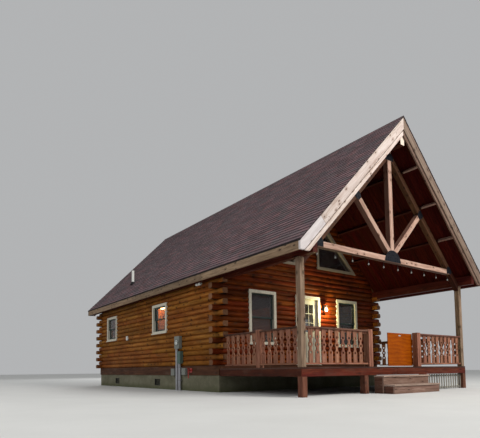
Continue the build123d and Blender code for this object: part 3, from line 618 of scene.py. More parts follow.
m_conc = concrete()
m_shin = shingle()
m_trim_d = paintm("cream_casing_shaded", (0.245, 0.205, 0.155), 0.66, dirt=0.35, scale=18.0, spec=0.2)
m_trim = paintm("cream_casing", (0.56, 0.525, 0.43), 0.62, dirt=0.25, scale=18.0, spec=0.2)
m_sash = paintm("dark_sash", (0.020, 0.036, 0.032), 0.45, vary=0.2, spec=0.25)
m_door = paintm("door_paint", (0.42, 0.39, 0.32), 0.5, vary=0.05, spec=0.25)
m_steel = paintm("black_steel", (0.0048, 0.0058, 0.0100), 0.60, vary=0.35, bump=0.3, dirt=0.35, dirtcol=(0.045, 0.036, 0.034), spec=0.18)
m_black = paintm("black_metal", (0.010, 0.010, 0.011), 0.45, vary=0.3, spec=0.25)
m_drip = paintm("drip_edge", (0.014, 0.010, 0.010), 0.6, vary=0.3, spec=0.15)
m_grey = paintm("grey_box", (0.185, 0.195, 0.175), 0.5, vary=0.07, dirt=0.35, spec=0.25)
m_greyg = paintm("grey_green_box", (0.080, 0.125, 0.105), 0.5, vary=0.08, dirt=0.3, spec=0.25)
m_cond = paintm("grey_conduit", (0.34, 0.34, 0.36), 0.55, vary=0.06, dirt=0.40, spec=0.25)
m_white = paintm("white_plastic", (0.68, 0.68, 0.64), 0.5, vary=0.05, dirt=0.25)
m_red = paintm("red_enamel", (0.36, 0.030, 0.022), 0.35, vary=0.12, dirt=0.25)
m_brass = paintm("brass", (0.62, 0.43, 0.17), 0.28, metal=1.0, vary=0.08, dirt=0.15)
m_zinc = paintm("zinc_bolt", (0.30, 0.30, 0.31), 0.35, metal=0.9, vary=0.12)


def glassm(name, tint=(0.50, 0.50, 0.515), rough=0.03, trans=0.96):
    t = NT(name)
    p = t.pos()
    n = t.noise(p, 1.8, 2.0)
    sm = t.noise(p, 6.0, 5.0, 0.7)
    return t.bsdf(t.mix(t.maprange(sm, 0.4, 0.7, 0.0, 0.25), tint, tuple(c * 0.75 for c in tint)), t.maprange(sm, 0.45, 0.7, rough, rough + 0.06), 0.0,
                  normal=t.bump(n, 0.12, 0.01), spec=0.5, **{"Transmission Weight": trans, "IOR": 1.30})


m_glass = glassm("window_pane")
m_lens = glassm("clear_lens", (0.9, 0.93, 0.93))


def ply():
    t = NT("orange_plywood")
    p = t.pos()
    s = t.sep(p)
    w = t.noise(t.vmul(p, (1.4, 1.4, 4.0)), 1.0, 3.0)
    band = t.math("SINE", t.math("MULTIPLY", t.math("ADD", t.math("MULTIPLY", s[0], 0.05), t.math("ADD", s[2], t.math("MULTIPLY", w, 0.22))), 60.0))
    f = t.noise(t.vmul(p, (9.0, 9.0, 120.0)), 1.0, 4.0, 0.6)
    big = t.noise(p, 2.2, 3.0)
    v = t.math("ADD", t.math("MULTIPLY", t.maprange(band, -1, 1, 0, 1), 0.16), t.math("MULTIPLY", f, 0.84))
    col = t.ramp(v, [(0.2, (0.19, 0.030, 0.0003)), (0.5, (0.31, 0.060, 0.0005)), (0.85, (0.43, 0.108, 0.0014))])
    col = t.hsv(col, 0.5, 1.0, t.maprange(big, 0.3, 0.7, 0.85, 1.08))
    k = t.voro(t.vmul(p, (2.2, 2.2, 5.0)), 1.0)
    core = t.math("MULTIPLY", t.maprange(k[0], 0.03, 0.08, 1.0, 0.0, True), t.math("GREATER_THAN", t.sep(k[1])[0], 0.6))
    col = t.mix(t.math("MULTIPLY", core, 0.8), col, (0.20, 0.06, 0.01))
    return t.bsdf(col, t.maprange(f, 0.3, 0.7, 0.46, 0.6), normal=t.bump(v, 0.25, 0.001), spec=0.06)


m_ply = ply()


def glow(name, col, strength, base=(0.9, 0.88, 0.82)):
    t = NT(name)
    p = t.pos()
    n = t.noise(p, 20.0, 2.0)
    return t.bsdf(t.mix(t.maprange(n, 0.3, 0.7, 0.0, 0.3), base, tuple(c * 0.8 for c in base)), 0.3, normal=t.bump(n, 0.1, 0.001),
                  **{"Emission Color": col, "Emission Strength": strength})


m_bulb = glow("bulb_glass", (1.0, 0.93, 0.80), 0.004, base=(0.27, 0.26, 0.24))
m_flame = glow("lantern_glow", (1.0, 0.74, 0.40), 12.0)

# ------------------------------------------------------------------ CAD nodes
for n in ("left_wall", "right_wall"):
    paint(n, m_log_s)
for n in ("front_wall_left", "front_wall_right", "front_wall_over_door", "front_gable"):
    paint(n, m_log_f)
for n in ("back_wall", "back_gable"):
    paint(n, m_log_b)
paint("eave_beams", m_beam)
paint("purlins", m_purl)
paint("ridge_beam", m_ridge)
paint("sill_sides", m_sill_y)
paint("sill_ends", m_sill_x)
paint("floor", m_floor)
paint("foundation_sides", m_conc)
paint("foundation_ends", m_conc)
paint("gable_window_casings", m_trim_d)
for n in ("window_casings", "door_frame"):
    paint(n, m_trim)
paint("window_sashes", m_sash)
for n in ("window_glass", "gable_window_glass", "door_glass"):
    paint(n, m_glass)
paint("gate", m_ply)
paint("gate_hinges", m_black)
paint("door_knobs", m_brass)
paint("conduits", m_cond)
paint("vent_pipe", m_white)
paint("floodlight", m_white)

# ------------------------------------------------------------------ roof
RIDGE = 6.600
YF, YB = -3.580, 9.730


def slope(sg, s, y, h):
    """Point on a slope: s down from the ridge, h above the base plane."""
    b = 0.0145
    return (sg * (s * Q + (h - b) * Q), y, RIDGE - s * Q + (h - b) * Q)


core = MB("roof_core", [m_drip])
for sg in (-1, 1):
    core.prism([(0, RIDGE - 0.0215), (sg * 3.862, RIDGE - 0.0215 - 3.862), (sg * 3.862, 2.475), (sg * 3.745, 2.475), (0, 6.220)], "y", -3.522, 9.672, (0, 1, 0))
core.done(replaces=("roof_left", "roof_right"), slot="shingles")

sh = MB("roof_shingles", [m_shin])
EXP, TW = 0.141, 0.3165
y0s, y1s = -3.592, 9.742
SL = 3.913 / Q
for sg in (-1, 1):
    nrow = int(SL / EXP) + 1
    for i in range(nrow):
        sb = SL - i * EXP                      # butt edge of this course
        st_ = max(sb - EXP - 0.018, 0.002)
        if sb < 0.03:
            break
        off = (0.0, TW / 2, TW * 0.25, TW * 0.75)[i % 4]
        y = y0s - off
        while y < y1s:
            a, b = max(y + 0.003, y0s), min(y + TW - 0.003, y1s)
            y += TW
            if b - a < 0.03:
                continue
            t_ = 0.0075 + R.uniform(0, 0.0035)
            j = R.uniform(-0.003, 0.003) if i > 0 else 0.0
            e0 = 0.0004
            c0 = 0.0035
            v = [slope(sg, st_, a, 0.0), slope(sg, st_, b, 0.0), slope(sg, sb + j, b, 0.0), slope(sg, sb + j, a, 0.0),
                 slope(sg, st_, a, e0 + c0 * 0.2), slope(sg, st_, b, e0 + c0 * 0.2), slope(sg, sb + j, b, t_), slope(sg, sb + j, a, t_)]
            f = [(0, 3, 2, 1), (4, 5, 6, 7), (0, 1, 5, 4), (1, 2, 6, 5), (2, 3, 7, 6), (3, 0, 4, 7)]
            if sg < 0:
                f = [tuple(reversed(q)) for q in f]
            sh.add(v, f, along=(0, 1, 0))
    # solid base sheet under the tabs
    v = [slope(sg, 0.0, y0s + 0.004, -0.004), slope(sg, 0.0, y1s - 0.004, -0.004), slope(sg, SL - 0.004, y1s - 0.004, -0.004), slope(sg, SL - 0.004, y0s + 0.004, -0.004),
         slope(sg, 0.0, y0s + 0.004, 0.0015), slope(sg, 0.0, y1s - 0.004, 0.0015), slope(sg, SL - 0.004, y1s - 0.004, 0.0015), slope(sg, SL - 0.004, y0s + 0.004, 0.0015)]
    f = [(0, 3, 2, 1), (4, 5, 6, 7), (0, 1, 5, 4), (1, 2, 6, 5), (2, 3, 7, 6), (3, 0, 4, 7)]
    if sg < 0:
        f = [tuple(reversed(q)) for q in f]
    sh.add(v, f, along=(0, 1, 0), pid=0.1)
# ridge caps, each lapping the next towards the porch
y = y1s
while y > y0s + 0.02:
    a = max(y - 0.155, y0s)
    hh = 0.0030
    pr = []
    for yy, h in ((a, 0.0105), (y, 0.0060)):
        pr.append([(-0.150 * Q, RIDGE - 0.0205 - 0.150 * Q + h * 1.2), (0.0, RIDGE - 0.0205 + h * 1.5), (0.150 * Q, RIDGE - 0.0205 - 0.150 * Q + h * 1.2),
                   (0.150 * Q, RIDGE - 0.0215 - 0.150 * Q), (0.0, RIDGE - 0.0215), (-0.150 * Q, RIDGE - 0.0215 - 0.150 * Q)])
    v = [(px, a, pz) for px, pz in pr[0]] + [(px, y, pz) for px, pz in pr[1]]
    n = 6
    sh.add(v, [list(reversed(range(6)))[::-1], list(range(11, 5, -1))] + [(i, i + n, (i + 1) % n + n, (i + 1) % n) for i in range(n)][::1], along=(0, 1, 0))
    y -= 0.141
sh.done(slot="shingles")

# soffit boards run up the slope, one chamfered board every 133 mm
so = MB("soffit_boards", [m_soff])
y = -3.520
BWD = 0.1333
while y < 9.668:
    a, b = y + 0.0008, min(y + BWD - 0.0008, 9.670)
    for sg in (-1, 1):
        c = 0.006
        # cross-section in (y, n): face 12 mm thick with chamfered edges
        sec = [(a, 0.0), (a, 0.009), (a + c, 0.0135), (b - c, 0.0135), (b, 0.009), (b, 0.0)]
        pts = []
        for s_ in (0.0, 1.0):
            for yy, dpt in sec:
                v0 = 0.380 * 1.0
                # plumb depth of the board face below the roof surface
                if s_ == 0.0:
                    x_ = 0.0
                else:
                    x_ = 3.744
                pts.append((sg * x_, yy, RIDGE - x_ - v0 - dpt * 1.414))
        n = 6
        fcs = [list(range(5, -1, -1)), list(range(6, 12))] + [(i, (i + 1) % n, (i + 1) % n + n, i + n) for i in range(n)]
        if sg < 0:
            fcs = [tuple(reversed(q)) for q in fcs]
        so.add(pts, fcs, along=(sg * Q, 0, -Q), up_=(0, 1, 0))
    y += BWD
for sg in (-1, 1):
    so.box(sg * 3.735, sg * 3.861, -3.520, 9.670, 2.456, 2.474, along=(0, 1, 0))
so.done(slot="dark_timber")

# drip edge on rakes and eaves
dr = MB("drip_edges", [m_drip])
for sg in (-1, 1):
    for a, b in ((YF - 0.010, YF - 0.0005), (YB + 0.0005, YB + 0.010)):
        dr.prism([(0, RIDGE - 0.0205), (sg * 3.902, RIDGE - 0.0205 - 3.902), (sg * 3.902, RIDGE - 0.050 - 3.902), (0, RIDGE - 0.050)], "y", a, b, (0, 1, 0))
    dr.box(sg * 3.9005, sg * 3.908, YF - 0.010, YB + 0.010, 2.640, 2.672, along=(0, 1, 0))
dr.done(slot="shingles")

# rake boards: outer board in two lengths, inner trim set back
XJ = 3.27


# the boards on one side of each gable take the darker rake wood copies: painted shade on that side
def rake(name, ya, yb, outer, rep, back=False):
    top, low = 6.576, 6.234
    m = MB(name, [m_rake, m_pinew, m_rake_r, m_rake_trim_shaded])
    for sg in (-1, 1):
        al = (sg * Q, 0, -Q)
        if outer:
            d = 0.171
            m.prism([(sg * 0.001, top - 0.001), (sg * XJ, top - XJ), (sg * (XJ - d), low - XJ + d), (sg * 0.001, low - 0.001)], "y", ya, yb, al, pid=0.55 + 0.2 * sg, mat=0 if (sg < 0) != back else 2)
            xj = XJ + 0.003
            m.prism([(sg * xj, top - xj), (sg * 3.9, top - 3.9), (sg * 3.9, 2.458), (sg * 3.776, 2.458), (sg * (xj - d), low - xj + d)], "y", ya, yb, al,
                    mat=1 if (sg < 0) != back else 2, pid=0.8)
        else:
            gp = 0.034
            m.prism([(sg * 0.001, 6.231 - gp), (sg * (3.775 - gp), 2.458), (sg * 3.607, 2.458), (sg * 0.001, 6.064)], "y", ya, yb, al, pid=0.50 - 0.25 * sg, mat=0 if (sg < 0) != back else 3)
    m.done(replaces=(rep,), slot="pine_timber", bevel=0.003)


rake("rake_outer_front", YF, YF + 0.058, True, "rake_boards_front")
rake("rake_inner_front", YF + 0.020, YF + 0.058, False, "rake_trim_front")
rake("rake_outer_back", YB - 0.058, YB, True, "rake_boards_back", True)
rake("rake_inner_back", YB - 0.058, YB - 0.020, False, "rake_trim_back")

fa = MB("fascia", [m_fasc])
for sg in (-1, 1):
    ys = [YF + 0.0582, 0.25, 4.9, YB - 0.0582]
    for a, b in zip(ys[:-1], ys[1:]):
        fa.box(sg * 3.862, sg * 3.8995, a + (0.001 if a > YF + 0.1 else 0), b - 0.001, 2.455, 2.676, along=(0, 1, 0))
fa.done(replaces=("fascia_boards",), slot="pine_timber", bevel=0.003)

# ------------------------------------------------------------------ truss and posts
TY0, TY1 = -3.120, -2.980
CLo, CTp = 5.643, 5.855
tr = MB("truss_king", [m_pine])
tr.box(-0.08, 0.08, TY0, TY1, 2.9155, 5.8195, along=(0, 0, 1), pid=0.6)
tr.done(replaces=("truss_king_post",), slot="pine_timber", bevel=0.006)
tr = MB("truss_rafters", [m_chord_shaded, m_block_shaded])
for sg in (-1, 1):
    xs = 2.895
    tr.prism([(sg * 0.0805, CTp - 0.0805), (sg * (xs + 0.0515), CTp - xs - 0.0515), (sg * (xs - 0.0515), CLo - xs + 0.0515), (sg * 0.0805, CLo - 0.0805)], "y", TY0, TY1, (sg * Q, 0, -Q), pid=0.40 + 0.1 * sg)
    # the chord tails past the plates take the near-black block wood: partly painted shade
    tr.prism([(sg * (xs + 0.0525), CTp - xs - 0.0525), (sg * 3.3295, CTp - 3.3295), (sg * 3.3295, CLo - 3.3295), (sg * (xs - 0.0505), CLo - xs + 0.0505)], "y", TY0, TY1, (sg * Q, 0, -Q), pid=0.5, mat=1)
    for xc in (0.740, 1.580, 2.420):
        tr.prism([(sg * (xc + a * Q - d * Q), 6.200 - xc - a * Q - d * Q) for a, d in ((-0.023, 0.107), (0.023, 0.107), (0.023, 0.2425), (-0.023, 0.2425))],
                 "y", TY0 + 0.03, TY1 - 0.03, (sg * Q, 0, -Q), pid=0.3, mat=1)
tr.done(replaces=("truss_top_chords",), slot="pine_timber", bevel=0.006)
tr = MB("truss_tie", [m_pine])
tr.prism([(CLo - 2.775, 2.775), (CLo - 2.915, 2.915), (-(CLo - 2.915), 2.915), (-(CLo - 2.775), 2.775)], "y", TY0, TY1, (1, 0, 0), pid=0.7)
tr.done(replaces=("truss_bottom_chord",), slot="pine_timber", bevel=0.006)
tr = MB("truss_braces", [m_pine])
for sg in (-1, 1):
    pp = [(0.0805, 2.9155), (0.084, 2.9155), ((CLo - 2.831) / 2, (CLo + 2.831) / 2), ((CLo - 3.029) / 2, (CLo + 3.029) / 2), (0.0805, 3.109)]
    tr.prism([(sg * a, b) for a, b in pp], "y", TY0, TY1, (sg * Q, 0, Q), pid=0.6 + 0.25 * sg)
tr.done(replaces=("truss_struts",), slot="pine_timber", bevel=0.005)

ps = MB("porch_post_pair", [m_post, m_post_r])
for sg in (-1, 1):
    ps.box(sg * 3.330, sg * 3.470, -3.120, -2.980, 0.0, 2.4645, along=(0, 0, 1), pid=0.75 + 0.05 * sg, mat=0 if sg < 0 else 1)
ps.done(replaces=("porch_posts",), slot="pine_timber", bevel=0.006)

# steel plates with bolt heads, front and back of the truss
pl = MB("truss_steel", [m_steel, m_steel])


def bolt(m, x, y, z, sgn, r=0.013):
    # washer and hexagon head on a plate whose face is at y
    m.tube((x, y, z), (x, y + sgn * 0.003, z), r * 1.5, n=14, mat=1)
    m.tube((x, y + sgn * 0.003, z), (x, y + sgn * 0.0115, z), r, n=6, mat=1, smooth=False)


for y0, y1, yb, sgn in ((TY0 - 0.008, TY0, TY0 - 0.008, -1), (TY1, TY1 + 0.008, TY1 + 0.008, 1)):
    # circle through (-0.35, 2.80), (0, 3.09), (0.35, 2.80)
    hr = 0.29
    rad = (0.35 ** 2 + hr ** 2) / (2 * hr)
    zc0 = 3.090 - rad
    a0 = math.atan2(2.800 - zc0, 0.35)
    arc = [(rad * math.cos(a0 + (math.pi - 2 * a0) * i / 28), zc0 + rad * math.sin(a0 + (math.pi - 2 * a0) * i / 28)) for i in range(29)]
    pl.prism([(-0.35, 2.778), (0.35, 2.778)] + arc, "y", y0, y1, (0, 1, 0))
    ends = [(2.690, 2.785), (2.690, 2.912), (2.745, 3.000), (2.835, 3.000), (2.960, 2.880), (2.920, 2.785)]
    mid_ = (CTp + CLo) / 2
    cx, cz = (mid_ - 2.930) / 2, (mid_ + 2.930) / 2
    top = [(cx + a * Q - d * Q, cz - a * Q - d * Q) for a, d in ((-0.11, -0.068), (0.11, -0.068), (0.11, 0.060), (0.06, 0.160), (-0.06, 0.160), (-0.11, 0.060))]
    for sg in (-1, 1):
        pl.prism([(sg * a, b) for a, b in ends], "y", y0, y1, (0, 1, 0))
        pl.prism([(sg * a, b) for a, b in top], "y", y0, y1, (0, 1, 0))
        for a, d in ((-0.07, -0.030), (0.07, -0.030), (-0.07, 0.030), (0.07, 0.030), (0.0, 0.085), (0.0, 0.130)):
            bolt(pl, sg * (cx + a * Q - d * Q), yb, cz - a * Q - d * Q, sgn)
        for a, b in ((2.720, 2.815), (2.720, 2.880), (2.790, 2.840), (2.860, 2.825), (2.775, 2.960), (2.825, 2.955), (2.890, 2.890)):
            bolt(pl, sg * a, yb, b, sgn)
        for a, b in ((0.10, 2.82), (0.20, 2.82), (0.30, 2.82), (0.10, 2.885), (0.20, 2.885), (0.14, 2.985), (0.21, 2.975)):
            bolt(pl, sg * a, yb, b, sgn)
        bolt(pl, sg * 0.04, yb, 2.965, sgn); bolt(pl, sg * 0.04, yb, 3.040, sgn)
        for a, b in ((0.13, 5.59), (0.13, 5.64), (0.05, 5.60), (0.05, 5.70)):
            bolt(pl, sg * a, yb, b, sgn)
    pl.prism([(-0.17, 5.56), (0.17, 5.56), (0.17, 5.67), (0.08, 5.76), (-0.08, 5.76), (-0.17, 5.67)], "y", y0, y1, (0, 1, 0))
pl.done(replaces=("truss_plates",), slot="black_steel", bevel=0.0012)

# ------------------------------------------------------------------ deck
dk = MB("deck_planks", [m_cap])
n = 22
w = 3.140 / n
for i in range(n):
    a, b = -3.140 + w * i, -3.140 + w * (i + 1) - 0.005
    cut = (-0.6, 0.6, 0.0, 1.2, -1.2)[i % 5]
    dk.box(-3.485, cut - 0.0015, a, b, -0.038, 0.0)
    dk.box(cut + 0.0015, 3.485, a, b, -0.038, 0.0)
dk.done(replaces=("deck_boards",), slot="stained_wood", bevel=0.003)
rm = MB("deck_rim_boards", [m_stain, m_stain_side_shaded])
rm.box(-3.485, -0.0015, -3.140, -3.101, -0.207, -0.0385, pid=0.8)
rm.box(0.0015, 3.485, -3.140, -3.101, -0.207, -0.0385, pid=0.65)
for sg in (-1, 1):
    rm.box(sg * 3.446, sg * 3.485, -3.1005, -0.0005, -0.207, -0.0385, along=(0, 1, 0), pid=0.5, mat=1)
rm.box(-3.445, 3.445, -0.040, -0.0005, -0.207, -0.0385)
rm.done(replaces=("deck_rim",), slot="stained_wood", bevel=0.003)
jo = MB("deck_joist_set", [m_stain])
for i in range(11):
    xj = -3.0 + 0.6 * i
    jo.box(xj - 0.02, xj + 0.02, -3.0995, -0.0405, -0.206, -0.039, along=(0, 1, 0))
jo.done(replaces=("deck_joists",), slot="stained_wood", bevel=0.002)
dp = MB("deck_feet", [m_feet])
for x in (-3.41, -1.28, 1.28, 3.41):
    dp.box(x - 0.075, x + 0.075, -3.140, -2.990, -0.660, -0.2075, along=(0, 0, 1))
dp.done(replaces=("deck_posts",), slot="stained_wood", bevel=0.005)
sk = MB("skirt_pickets", [m_skirt])
sk.box(1.355, 3.335, -3.045, -3.025, -0.290, -0.250)
sk.box(1.355, 3.335, -3.045, -3.025, -0.620, -0.580)
for i in range(16):
    xs = 1.385 + 1.920 * i / 15
    sk.box(xs - 0.024, xs + 0.024, -3.0645, -3.0455, -0.643 - R.uniform(0, 0.008), -0.217, along=(0, 0, 1))
sk.done(replaces=("deck_skirt",), slot="weathered_wood", bevel=0.002)

# ------------------------------------------------------------------ stair
stp = MB("stair_tread_boards", [m_tread])
for y0, y1, z in ((-3.430, -3.1405, -0.220), (-3.720, -3.4305, -0.440)):
    mid = (y0 + y1) / 2
    stp.box(-1.0, 1.0, y0, mid - 0.003, z - 0.038, z)
    stp.box(-1.0, 1.0, mid + 0.003, y1, z - 0.038, z)
stp.done(replaces=("stair_treads",), slot="weathered_wood", bevel=0.004)
stb = MB("stair_box_boards", [m_step, m_cheek_shaded])
for y0, y1, zt in ((-3.405, -3.1405, -0.2585), (-3.695, -3.4305, -0.4785)):
    stb.box(-0.985, 0.985, y0, y0 + 0.038, -0.660, zt)
    for sg in (-1, 1):
        hgt = zt + 0.660
        nb = 2 if hgt > 0.25 else 1
        for k in range(nb):
            za = -0.660 + hgt * k / nb
            stb.box(sg * 0.947, sg * 0.985, y0 + 0.0385, y1, za + (0.002 if k else 0), -0.660 + hgt * (k + 1) / nb, along=(0, 1, 0), mat=1)
stb.done(replaces=("stair_boxes",), slot="weathered_wood", bevel=0.003)

# ------------------------------------------------------------------ railings
RAILZ = 0.914


def baluster_shape():
    """Outline and holes of a sawn baluster, (across, height)."""
    z0, z1 = 0.1005, 0.874
    L = z1 - z0

    def half(v):
        if v < 0.24 or v > 0.70:
            return 0.070
        return 0.0520 + 0.0180 * math.cos(2 * math.pi * (v - 0.24) / 0.23)
    N = 30
    vs = [0.0] + [0.24 + 0.46 * i / N for i in range(N + 1)] + [1.0]
    left = [(-half(v), z1 - v * L) for v in vs]
    right = [(half(v), z1 - v * L) for v in reversed(vs)]
    outer = left + right                      # down the left, up the right: counter-clockwise
    holes = []
    for v in (0.24, 0.47, 0.70):
        c = z1 - v * L
        holes.append([(0.0300 * math.cos(2 * math.pi * i / 14), c + 0.0300 * math.sin(2 * math.pi * i / 14)) for i in range(14)])
    return outer, holes


OUT, HOL = baluster_shape()
_loops = [[Vector((a, b, 0)) for a, b in OUT]] + [[Vector((a, b, 0)) for a, b in reversed(h)] for h in HOL]
TRIS = geometry.tessellate_polygon(_loops)
FLAT = [(p.x, p.y) for lp in _loops for p in lp]
LENS = [len(lp) for lp in _loops]


def baluster(m, c, t0, t1, plane, pid=None):
    """A sawn board centred at c, from t0 to t1 through its thickness. plane 'x': along X at y = t."""
    n = len(FLAT)

    def pt(u, z, t):
        return (c + u, t, z) if plane == "x" else (t, c + u, z)
    v = [pt(u, z, t0) for u, z in FLAT] + [pt(u, z, t1) for u, z in FLAT]
    f = []
    for tri in TRIS:
        a, b, d = tri
        pa, pb, pd = FLAT[a], FLAT[b], FLAT[d]
        ar = (pb[0] - pa[0]) * (pd[1] - pa[1]) - (pd[0] - pa[0]) * (pb[1] - pa[1])
        if abs(ar) < 1e-12:
            continue
        tri = (a, b, d) if ar > 0 else (a, d, b)
        f.append(tri)
        f.append((tri[2] + n, tri[1] + n, tri[0] + n))
    o = 0
    for ln in LENS:
        for i in range(ln):
            j = (i + 1) % ln
            f.append((o + j, o + i, o + i + n, o + j + n))
        o += ln
    flip = (t1 < t0) != (plane == "y")
    if flip:
        f = [tuple(reversed(q)) for q in f]
    m.add(v, f, along=(0, 0, 1), up_=(1, 0, 0) if plane == "x" else (0, 1, 0), pid=pid)


PITCH = 0.2185
rf = MB("railing_front_panels", [m_rail, m_cap_lit])
for sg in (-1, 1):
    a, b = sorted((sg * 3.3295, sg * 1.1405))
    rf.box(a, b, -3.120, -2.980, RAILZ - 0.038, RAILZ, mat=1)
    rf.box(a, b, -3.069, -3.031, RAILZ - 0.090, RAILZ - 0.0385)
    rf.box(a, b, -3.095, -3.005, 0.062, 0.100)
    for i in range(9):
        xc = sg * (3.150 - PITCH * i)
        baluster(rf, xc, -3.088, -3.0695, "x")
rf.done(replaces=("railing_front",), slot="stained_wood", bevel=0.0025)
YSA = [-0.345 - PITCH * i for i in range(6)]
YSB = [-1.795 - PITCH * i for i in range(6)]
for sg, nm in ((-1, "left"), (1, "right")):
    m = MB("railing_%s_panels" % nm, [m_rail, m_cap])
    for y0, y1, ys in ((-1.5505, -0.2045, YSA), (-2.9795, -1.6905, YSB)):
        m.box(sg * 3.330, sg * 3.470, y0, y1, RAILZ - 0.038, RAILZ, along=(0, 1, 0), mat=1)
        m.box(sg * 3.381, sg * 3.419, y0, y1, RAILZ - 0.090, RAILZ - 0.0385, along=(0, 1, 0))
        m.box(sg * 3.355, sg * 3.445, y0, y1, 0.062, 0.100, along=(0, 1, 0))
        for yc in ys:
            baluster(m, yc, sg * 3.4195, sg * 3.438, "y")
    m.done(replaces=("railing_" + nm,), slot="stained_wood", bevel=0.0025)
rp = MB("rail_newels", [m_rail])
for sg in (-1, 1):
    rp.box(sg * 0.98, sg * 1.14, -3.130, -2.970, 0.0, 0.935, along=(0, 0, 1), pid=0.55)
    rp.box(sg * 3.330, sg * 3.470, -1.690, -1.550, 0.0, 0.935, along=(0, 0, 1), pid=0.6)
rp.done(replaces=("rail_posts",), slot="stained_wood", bevel=0.005)

# ------------------------------------------------------------------ entry door
dd = MB("door_leaf", [m_door, m_black])
yo, yi = 0.060, 0.104


def dbox(a, b, c, d, y0=yo, y1=yi, mat=0):
    dd.box(a, b, y0, y1, c, d, along=(0, 0, 1), mat=mat)


dbox(-0.452, -0.300, 0.098, 2.210)
dbox(0.300, 0.452, 0.098, 2.210)
dbox(-0.2998, 0.2998, 2.050, 2.210)
dbox(-0.2998, 0.2998, 1.000, 1.150)
dbox(-0.2998, 0.2998, 0.098, 0.300)
dbox(-0.040, 0.040, 0.3002, 0.9998)
for sg in (-1, 1):
    dbox(sg * 0.0402, sg * 0.2998, 0.3002, 0.9998, 0.072, 0.092)
    dbox(sg * 0.085, sg * 0.255, 0.345, 0.955, 0.064, 0.100)
for x in (-0.1, 0.1):
    dbox(x - 0.010, x + 0.010, 1.1502, 2.0498, 0.066, 0.0775)
    dbox(x - 0.010, x + 0.010, 1.1502, 2.0498, 0.0865, 0.098)
for z in (1.45, 1.75):
    for a, b in ((-0.2998, -0.1102), (-0.0898, 0.0898), (0.1102, 0.2998)):
        dbox(a, b, z - 0.010, z + 0.010, 0.066, 0.0775)
        dbox(a, b, z - 0.010, z + 0.010, 0.0865, 0.098)
for z in (0.4, 1.15, 1.95):
    dd.tube((-0.456, 0.108, z - 0.05), (-0.456, 0.108, z + 0.05), 0.006, n=12, mat=1)
dd.done(body="entry_door", replaces=("front_door",), slot="door_paint", bevel=0.002)

# ------------------------------------------------------------------ fittings
LX, LZ = 0.720, 1.950
ln = MB("wall_lantern", [m_black, m_flame])
ln.box(LX - 0.050, LX + 0.050, -0.012, -0.001, LZ - 0.085, LZ + 0.088, along=(0, 0, 1))
ln.tube((LX, -0.012, LZ + 0.060), (LX, -0.120, LZ + 0.085), 0.008, n=10)
ln.lathe((LX, -0.120, LZ + 0.062), (0, 0, 1), [(0.0, 0.074), (0.006, 0.078), (0.030, 0.050), (0.046, 0.016), (0.052, 0.010)], n=6)
ln.lathe((LX, -0.120, LZ - 0.143), (0, 0, 1), [(0.0, 0.012), (0.006, 0.034), (0.020, 0.040), (0.028, 0.050)], n=6)
for i in range(6):
    t_ = 2 * math.pi * (i + 0.5) / 6
    ln.tube((LX + 0.048 * math.cos(t_), -0.120 + 0.048 * math.sin(t_), LZ - 0.118), (LX + 0.066 * math.cos(t_), -0.120 + 0.066 * math.sin(t_), LZ + 0.064), 0.0035, n=6)
ln.lathe((LX, -0.120, LZ - 0.105), (0, 0, 1), [(0.0, 0.012), (0.01, 0.030), (0.07, 0.036), (0.12, 0.026), (0.135, 0.012)], n=14, mat=1)
ln.done(replaces=("lantern",), slot="black_steel")

XW = -3.510
mt = MB("electric_meter", [m_grey, m_lens, m_white, m_black])
GY, GZ = 2.130, 0.830
mt.box(XW - 0.110, XW - 0.0005, 2.015, 2.305, 0.640, 1.030, along=(0, 0, 1))
mt.box(XW - 0.1135, XW - 0.110, 2.027, 2.293, 0.652, 0.715, along=(0, 0, 1))
mt.lathe((XW - 0.110, GY, GZ), (-1, 0, 0), [(0.0, 0.100), (0.012, 0.100), (0.016, 0.090)], n=28)
mt.lathe((XW - 0.1262, GY, GZ), (-1, 0, 0), [(0.0, 0.083), (0.035, 0.080), (0.048, 0.066), (0.0525, 0.03)], n=28, mat=1)
mt.lathe((XW - 0.1264, GY, GZ), (-1, 0, 0), [(0.0, 0.060), (0.010, 0.060)], n=24, mat=2)
for a in (-0.03, 0.0, 0.03):
    mt.tube((XW - 0.1366, GY + a, GZ + 0.025), (XW - 0.139, GY + a, GZ + 0.025), 0.009, n=12, mat=3)
mt.done(replaces=("meter_box",), slot="grey_metal", bevel=0.003)
sb = MB("service_box_set", [m_greyg, m_grey, m_white, m_zinc])
sb.box(XW - 0.104, XW - 0.0005, 1.942, 2.135, 0.170, 0.555, along=(0, 0, 1))
sb.box(XW - 0.110, XW - 0.1045, 1.950, 2.127, 0.185, 0.545, along=(0, 0, 1))
sb.box(XW - 0.1095, XW - 0.098, 2.025, 2.057, 0.1705, 0.178, along=(0, 0, 1), mat=3)
for a, b, c, d in ((2.375, 2.600, -0.200, 0.020), (1.685, 1.925, -0.185, 0.032)):
    sb.box(XW - 0.074, XW - 0.0005, a, b, c, d, along=(0, 0, 1), mat=1)
    sb.box(XW - 0.080, XW - 0.0745, a + 0.008, b - 0.008, c + 0.008, d - 0.008, along=(0, 0, 1), mat=1)
    for yy in (a + 0.02, b - 0.02):
        for zz in (c + 0.025, d - 0.025):
            sb.tube((XW - 0.0800, yy, zz), (XW - 0.0820, yy, zz), 0.006, n=8, mat=3)
sb.box(XW - 0.030, XW - 0.0005, 6.160, 6.300, 1.150, 1.310, along=(0, 0, 1), mat=2)
sb.box(XW - 0.040, XW - 0.0305, 6.170, 6.290, 1.160, 1.300, along=(0, 0, 1), mat=2)
sb.done(replaces=("service_boxes",), slot="grey_metal", bevel=0.004)
cs = MB("conduit_straps", [m_zinc])
